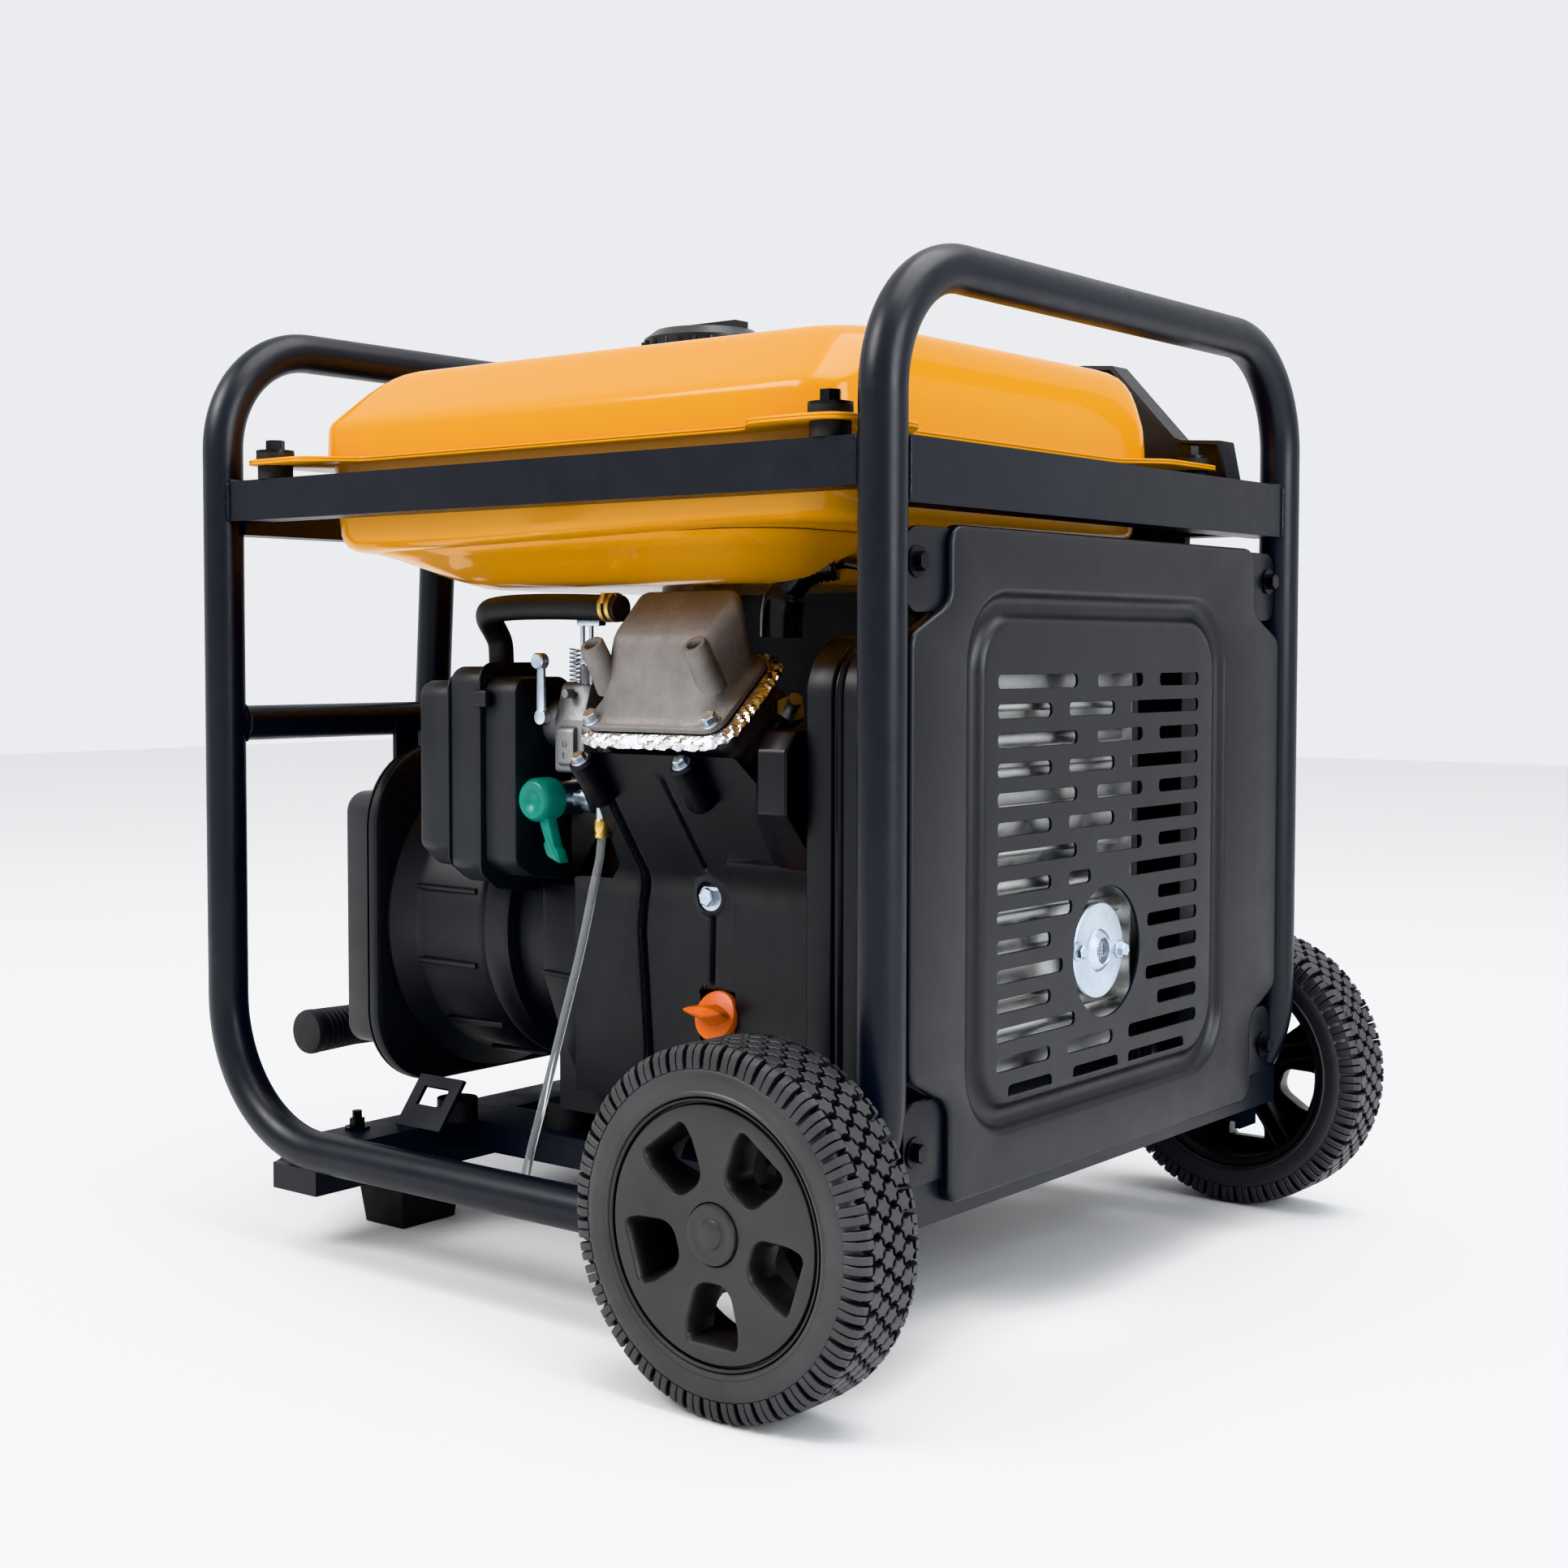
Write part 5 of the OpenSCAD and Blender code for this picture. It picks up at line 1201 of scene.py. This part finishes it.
def muffler_can():
    bm = bmesh.new()
    base = rect_outline(-143, 160, 47, 440, 30, 8)
    stack(bm, base, on_x, ((235, 5), (235.8, 2), (238, 0), (252, 0), (253.5, 0.4), (254.2, -3.6),
                           (257.2, -3.6), (258, 0.4), (259.4, 0), (279.5, 0), (281.3, 1.8), (282, 5)))
    for i in range(-5, 6):
        slab(bm, rect_outline(-123, 295 + 22 * i, 27, 305 + 22 * i, 4, 4), on_x, 281, 285, 1.4)
    # Pipe from the head
    path = [at(117.5, -112, 350), at(125, -112, 350), at(236, -112, 350)]
    tube(bm, path, 15 * MM, 32)
    rod(bm, at(117.3, -112, 350), at(122, -112, 350), 19 * MM, 36, 0.8 * MM)
    about_outlet = about_x(OUTLET.x, OUTLET.y)
    lathe(bm, [(8.5, 290), (8.5, 262)], about_outlet, 32)
    lathe(bm, [(8.3, 262), (8.3, 287.8), (21, 287.8), (22, 287), (22, 280)],
          about_outlet, 40)
    piece("muffler_can", bm, "muffler_steel", stands_for=("muffler",), sharp=36)
    # Outlet flange with its cone and mesh
    bm = bmesh.new()
    plate = []
    for k in range(96):
        turn = 2 * math.pi * k / 96
        reach = 31.0
        for side in (-1, 1):
            lobe = Vector((side * 26, -side * 2))
            way = spot(1, turn)
            near = way.dot(lobe)
            gap = 64 - (lobe.length_squared - near * near)
            if gap > 0:
                reach = max(reach, near + math.sqrt(gap))
        plate.append(OUTLET + spot(reach, turn))
    rim = [OUTLET + spot(8, 0.15 * k) for k in range(42)]
    flat_sheet(bm, [grow(plate, -0.9), rim], [False, True], lambda p: at(291, p.x, p.y))
    stack(bm, plate, on_x, ((291, 0.9), (290.1, 0), (288.4, 0)), False, False)
    lathe(bm, [(14, 290.6), (12.6, 292.4), (9.6, 294.4), (8.6, 294.8), (8, 294), (8, 270)],
          about_outlet, 48)
    for k in range(-3, 4):
        half = math.sqrt(max(64 - (k * 2.1) ** 2, 1))
        off = k * 2.1
        for x, down, across in ((289.5, Vector((0, half)), Vector((off, 0))),
                                (289.1, Vector((half, 0)), Vector((0, off)))):
            ends = OUTLET + across - down, OUTLET + across + down
            tube(bm, [at(x, p.x, p.y) for p in ends], 0.35 * MM, 6)
    piece("outlet_flange", bm, "zinc", stands_for=("spark_arrestor",), sharp=32)


def alternator():
    bm = bmesh.new()
    square = rect_outline(-130, 87, 130, 347, 62, 14)
    stack(bm, square, on_x, ((-272, 4), (-271.2, 1.2), (-269.6, 0), (-264, 0), (-262, 1), (-260, 5)))
    lathe(bm, [(0, -259), (122, -259), (123, -255), (109, -243), (106, -238), (106, -178), (104.8, -176),
               (103.4, -174.6), (103.4, -172), (106, -170), (106, -152), (104, -148.6), (98, -146.4),
               (0, -146)],
          about_x(0, CRANK_Z), 96)
    for k in range(12):
        turn = math.pi * (k + 0.5) / 6
        rod(bm, about_x(0, CRANK_Z)(108, -243, turn), about_x(0, CRANK_Z)(106.4, -182, turn), 2.2 * MM, 10)
    piece("alternator_body", bm, "alternator_black", stands_for=("alternator_housing",), sharp=36)
    bm = bmesh.new()
    stack(bm, square, on_x, ((-275, 4), (-274.6, 1.4), (-273.6, 0.4), (-272, 0.4)))
    cover = rect_outline(-127, 120, 127, 312, 16, 8)
    vents = [rect_outline(-60, 211 + 16 * i, 20, 217 + 16 * i, 2.8, 4) for i in range(-3, 4)]
    grip = [Vector((70, 282)) + spot(5.5, 0.3 * k) for k in range(21)]
    stack(bm, cover, on_x, ((-274.5, 0), (-296, 0), (-298.6, 1), (-300, 4)), False, False)
    flat_sheet(bm, [grow(cover, -4)] + vents + [grip], [False] + [True] * 8, lambda p: at(-300, p.x, p.y))
    for hole in vents + [grip]:
        stack(bm, hole, on_x, ((-300, 0), (-297, 0.3)), False, False)
    flat_sheet(bm, [rect_outline(-124, 123, 124, 309, 13, 8)], [False], lambda p: at(-283, p.x, p.y))
    piece("recoil_cover", bm, "alternator_black", stands_for=("alternator_cover",), sharp=36)


def weld_beads():
    """Rippled fillets where the rails and the cross tube meet the legs."""
    rng = random.Random(5)
    bm = bmesh.new()

    def bead(a, b):
        a, b = at(*a), at(*b)
        count = max(int((b - a).length / (1.6 * MM)), 2)
        path, radii = [], []
        for k in range(count + 1):
            path.append(a.lerp(b, k / count) + Vector([rng.uniform(-0.2, 0.2) * MM for _ in range(3)]))
            radii.append((1.5 + 0.5 * (k % 2) + rng.uniform(-0.15, 0.15)) * MM)
        tube(bm, path, 0, 8, radii=radii)
    for sx in (-1, 1):
        for sy in (-1, 1):
            # Side rail against the leg
            x = sx * 275.2
            bead((x, sy * 251.6, 511), (x, sy * 251.6, 537))
            bead((x, sy * 250, 538.2), (x, sy * 232, 538.2))
            # End rail against the leg
            y = sy * 231.8
            bead((sx * 297, y, 502), (sx * 297, y, 537))
            bead((sx * 296, y, 538.2), (sx * 276, y, 538.2))
    for sy in (-1, 1):
        ring = [about_y(-288.5, 367)(13, sy * 232.2, k * 0.4) for k in range(17)]
        radii = [(1.4 + 0.5 * (k % 2)) * MM for k in range(17)]
        tube(bm, ring, 0, 8, radii=radii)
    piece("weld_beads", bm, "frame_black", sharp=60)


def control_face():
    """Frames, blank display, socket lids and screws on the control side."""
    y = 236.5
    bm = bmesh.new()

    def plate(x0, z0, x1, z1, low, high, r, edge, mesh):
        slab(mesh, rect_outline(x0, z0, x1, z1, r, 5), on_y, y + low, y + high, edge)
    plate(-196, 190, 110, 310, -0.5, 1.6, 8, 0.5, bm)
    plate(-60, 345, 60, 425, -0.5, 3.0, 6, 1.0, bm)
    plate(118, 345, 182, 432, -0.5, 2.4, 6, 0.8, bm)
    for x in (-222, 222):
        for z in (124, 300, 446):
            hex_bolt(bm, at(x, y, z), Vector((0, 1, 0)), 7, 2.4, 11, 0.8)
    piece("control_frames", bm, "control_black", sharp=34)
    bm = bmesh.new()
    slab(bm, rect_outline(-46, 357, 46, 411, 3, 4), on_y, y + 2.4, y + 3.6, 0.5)
    piece("display_window", bm, "outlet_black", sharp=34)


engine_bolts()
carburettor()
muffler_can()
alternator()
weld_beads()
control_face()


# ---------- room ----------


def make_room():
    bpy.ops.mesh.primitive_plane_add(size=14, location=(0, 0, -0.0005))
    floor = bpy.context.object
    floor.name = "floor"
    mat, tree, shader = new_material("floor")
    tone = noise(tree, 1.5, 2.0)
    tree.links.new(ramp(tree, tone, 0.8, 0.82), shader.inputs["Base Color"])
    shader.inputs["Roughness"].default_value = 0.9
    floor.data.materials.append(mat)


def area_light(name, place, aim, size, power, colour=(1, 1, 1)):
    data = bpy.data.lights.new(name, "AREA")
    data.shape = "RECTANGLE"
    data.size, data.size_y = size
    data.energy = power
    data.color = colour
    light = bpy.data.objects.new(name, data)
    bpy.context.scene.collection.objects.link(light)
    light.location = place
    light.rotation_euler = (Vector(aim) - Vector(place)).to_track_quat("-Z", "Y").to_euler()


def make_lights():
    world = bpy.data.worlds.new("studio")
    bpy.context.scene.world = world
    world.use_nodes = True
    back = world.node_tree.nodes["Background"]
    back.inputs["Color"].default_value = (0.96, 0.975, 1.0, 1)
    back.inputs["Strength"].default_value = 1.0
    area_light("key", (-1.2, -2.2, 2.4), (0, 0, 0.35), (1.6, 1.2), 70)
    area_light("top", (0.6, 0.2, 2.6), (0, 0, 0.4), (2.2, 2.0), 55)
    area_light("side", (2.6, -0.3, 1.2), (0, 0, 0.35), (1.2, 1.4), 40, (0.92, 0.96, 1.0))


make_room()
make_lights()
bpy.context.scene.view_settings.view_transform = "Khronos PBR Neutral"


def drain_tube():
    shift = Vector((FRAME_X, 0, 0))
    points = [Vector(p) * MM + shift for p in DRAIN_ROUTE]
    curve = bpy.data.curves.new("drain_hose", "CURVE")
    curve.dimensions = "3D"
    spline = curve.splines.new("POLY")
    spline.points.add(len(points) - 1)
    for point, place in zip(spline.points, points):
        point.co = (*place, 1)
    curve.bevel_depth = DRAIN_DIAMETER / 2
    curve.bevel_resolution = 6
    curve.use_fill_caps = True
    hose = bpy.data.objects.new("drain_hose", curve)
    bpy.context.scene.collection.objects.link(hose)
    curve.materials.append(mats["clear_tube"])
    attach(hose, "root")
    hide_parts("drain_tube")
    tuple(points[0])
    route_length(points)


drain_tube()
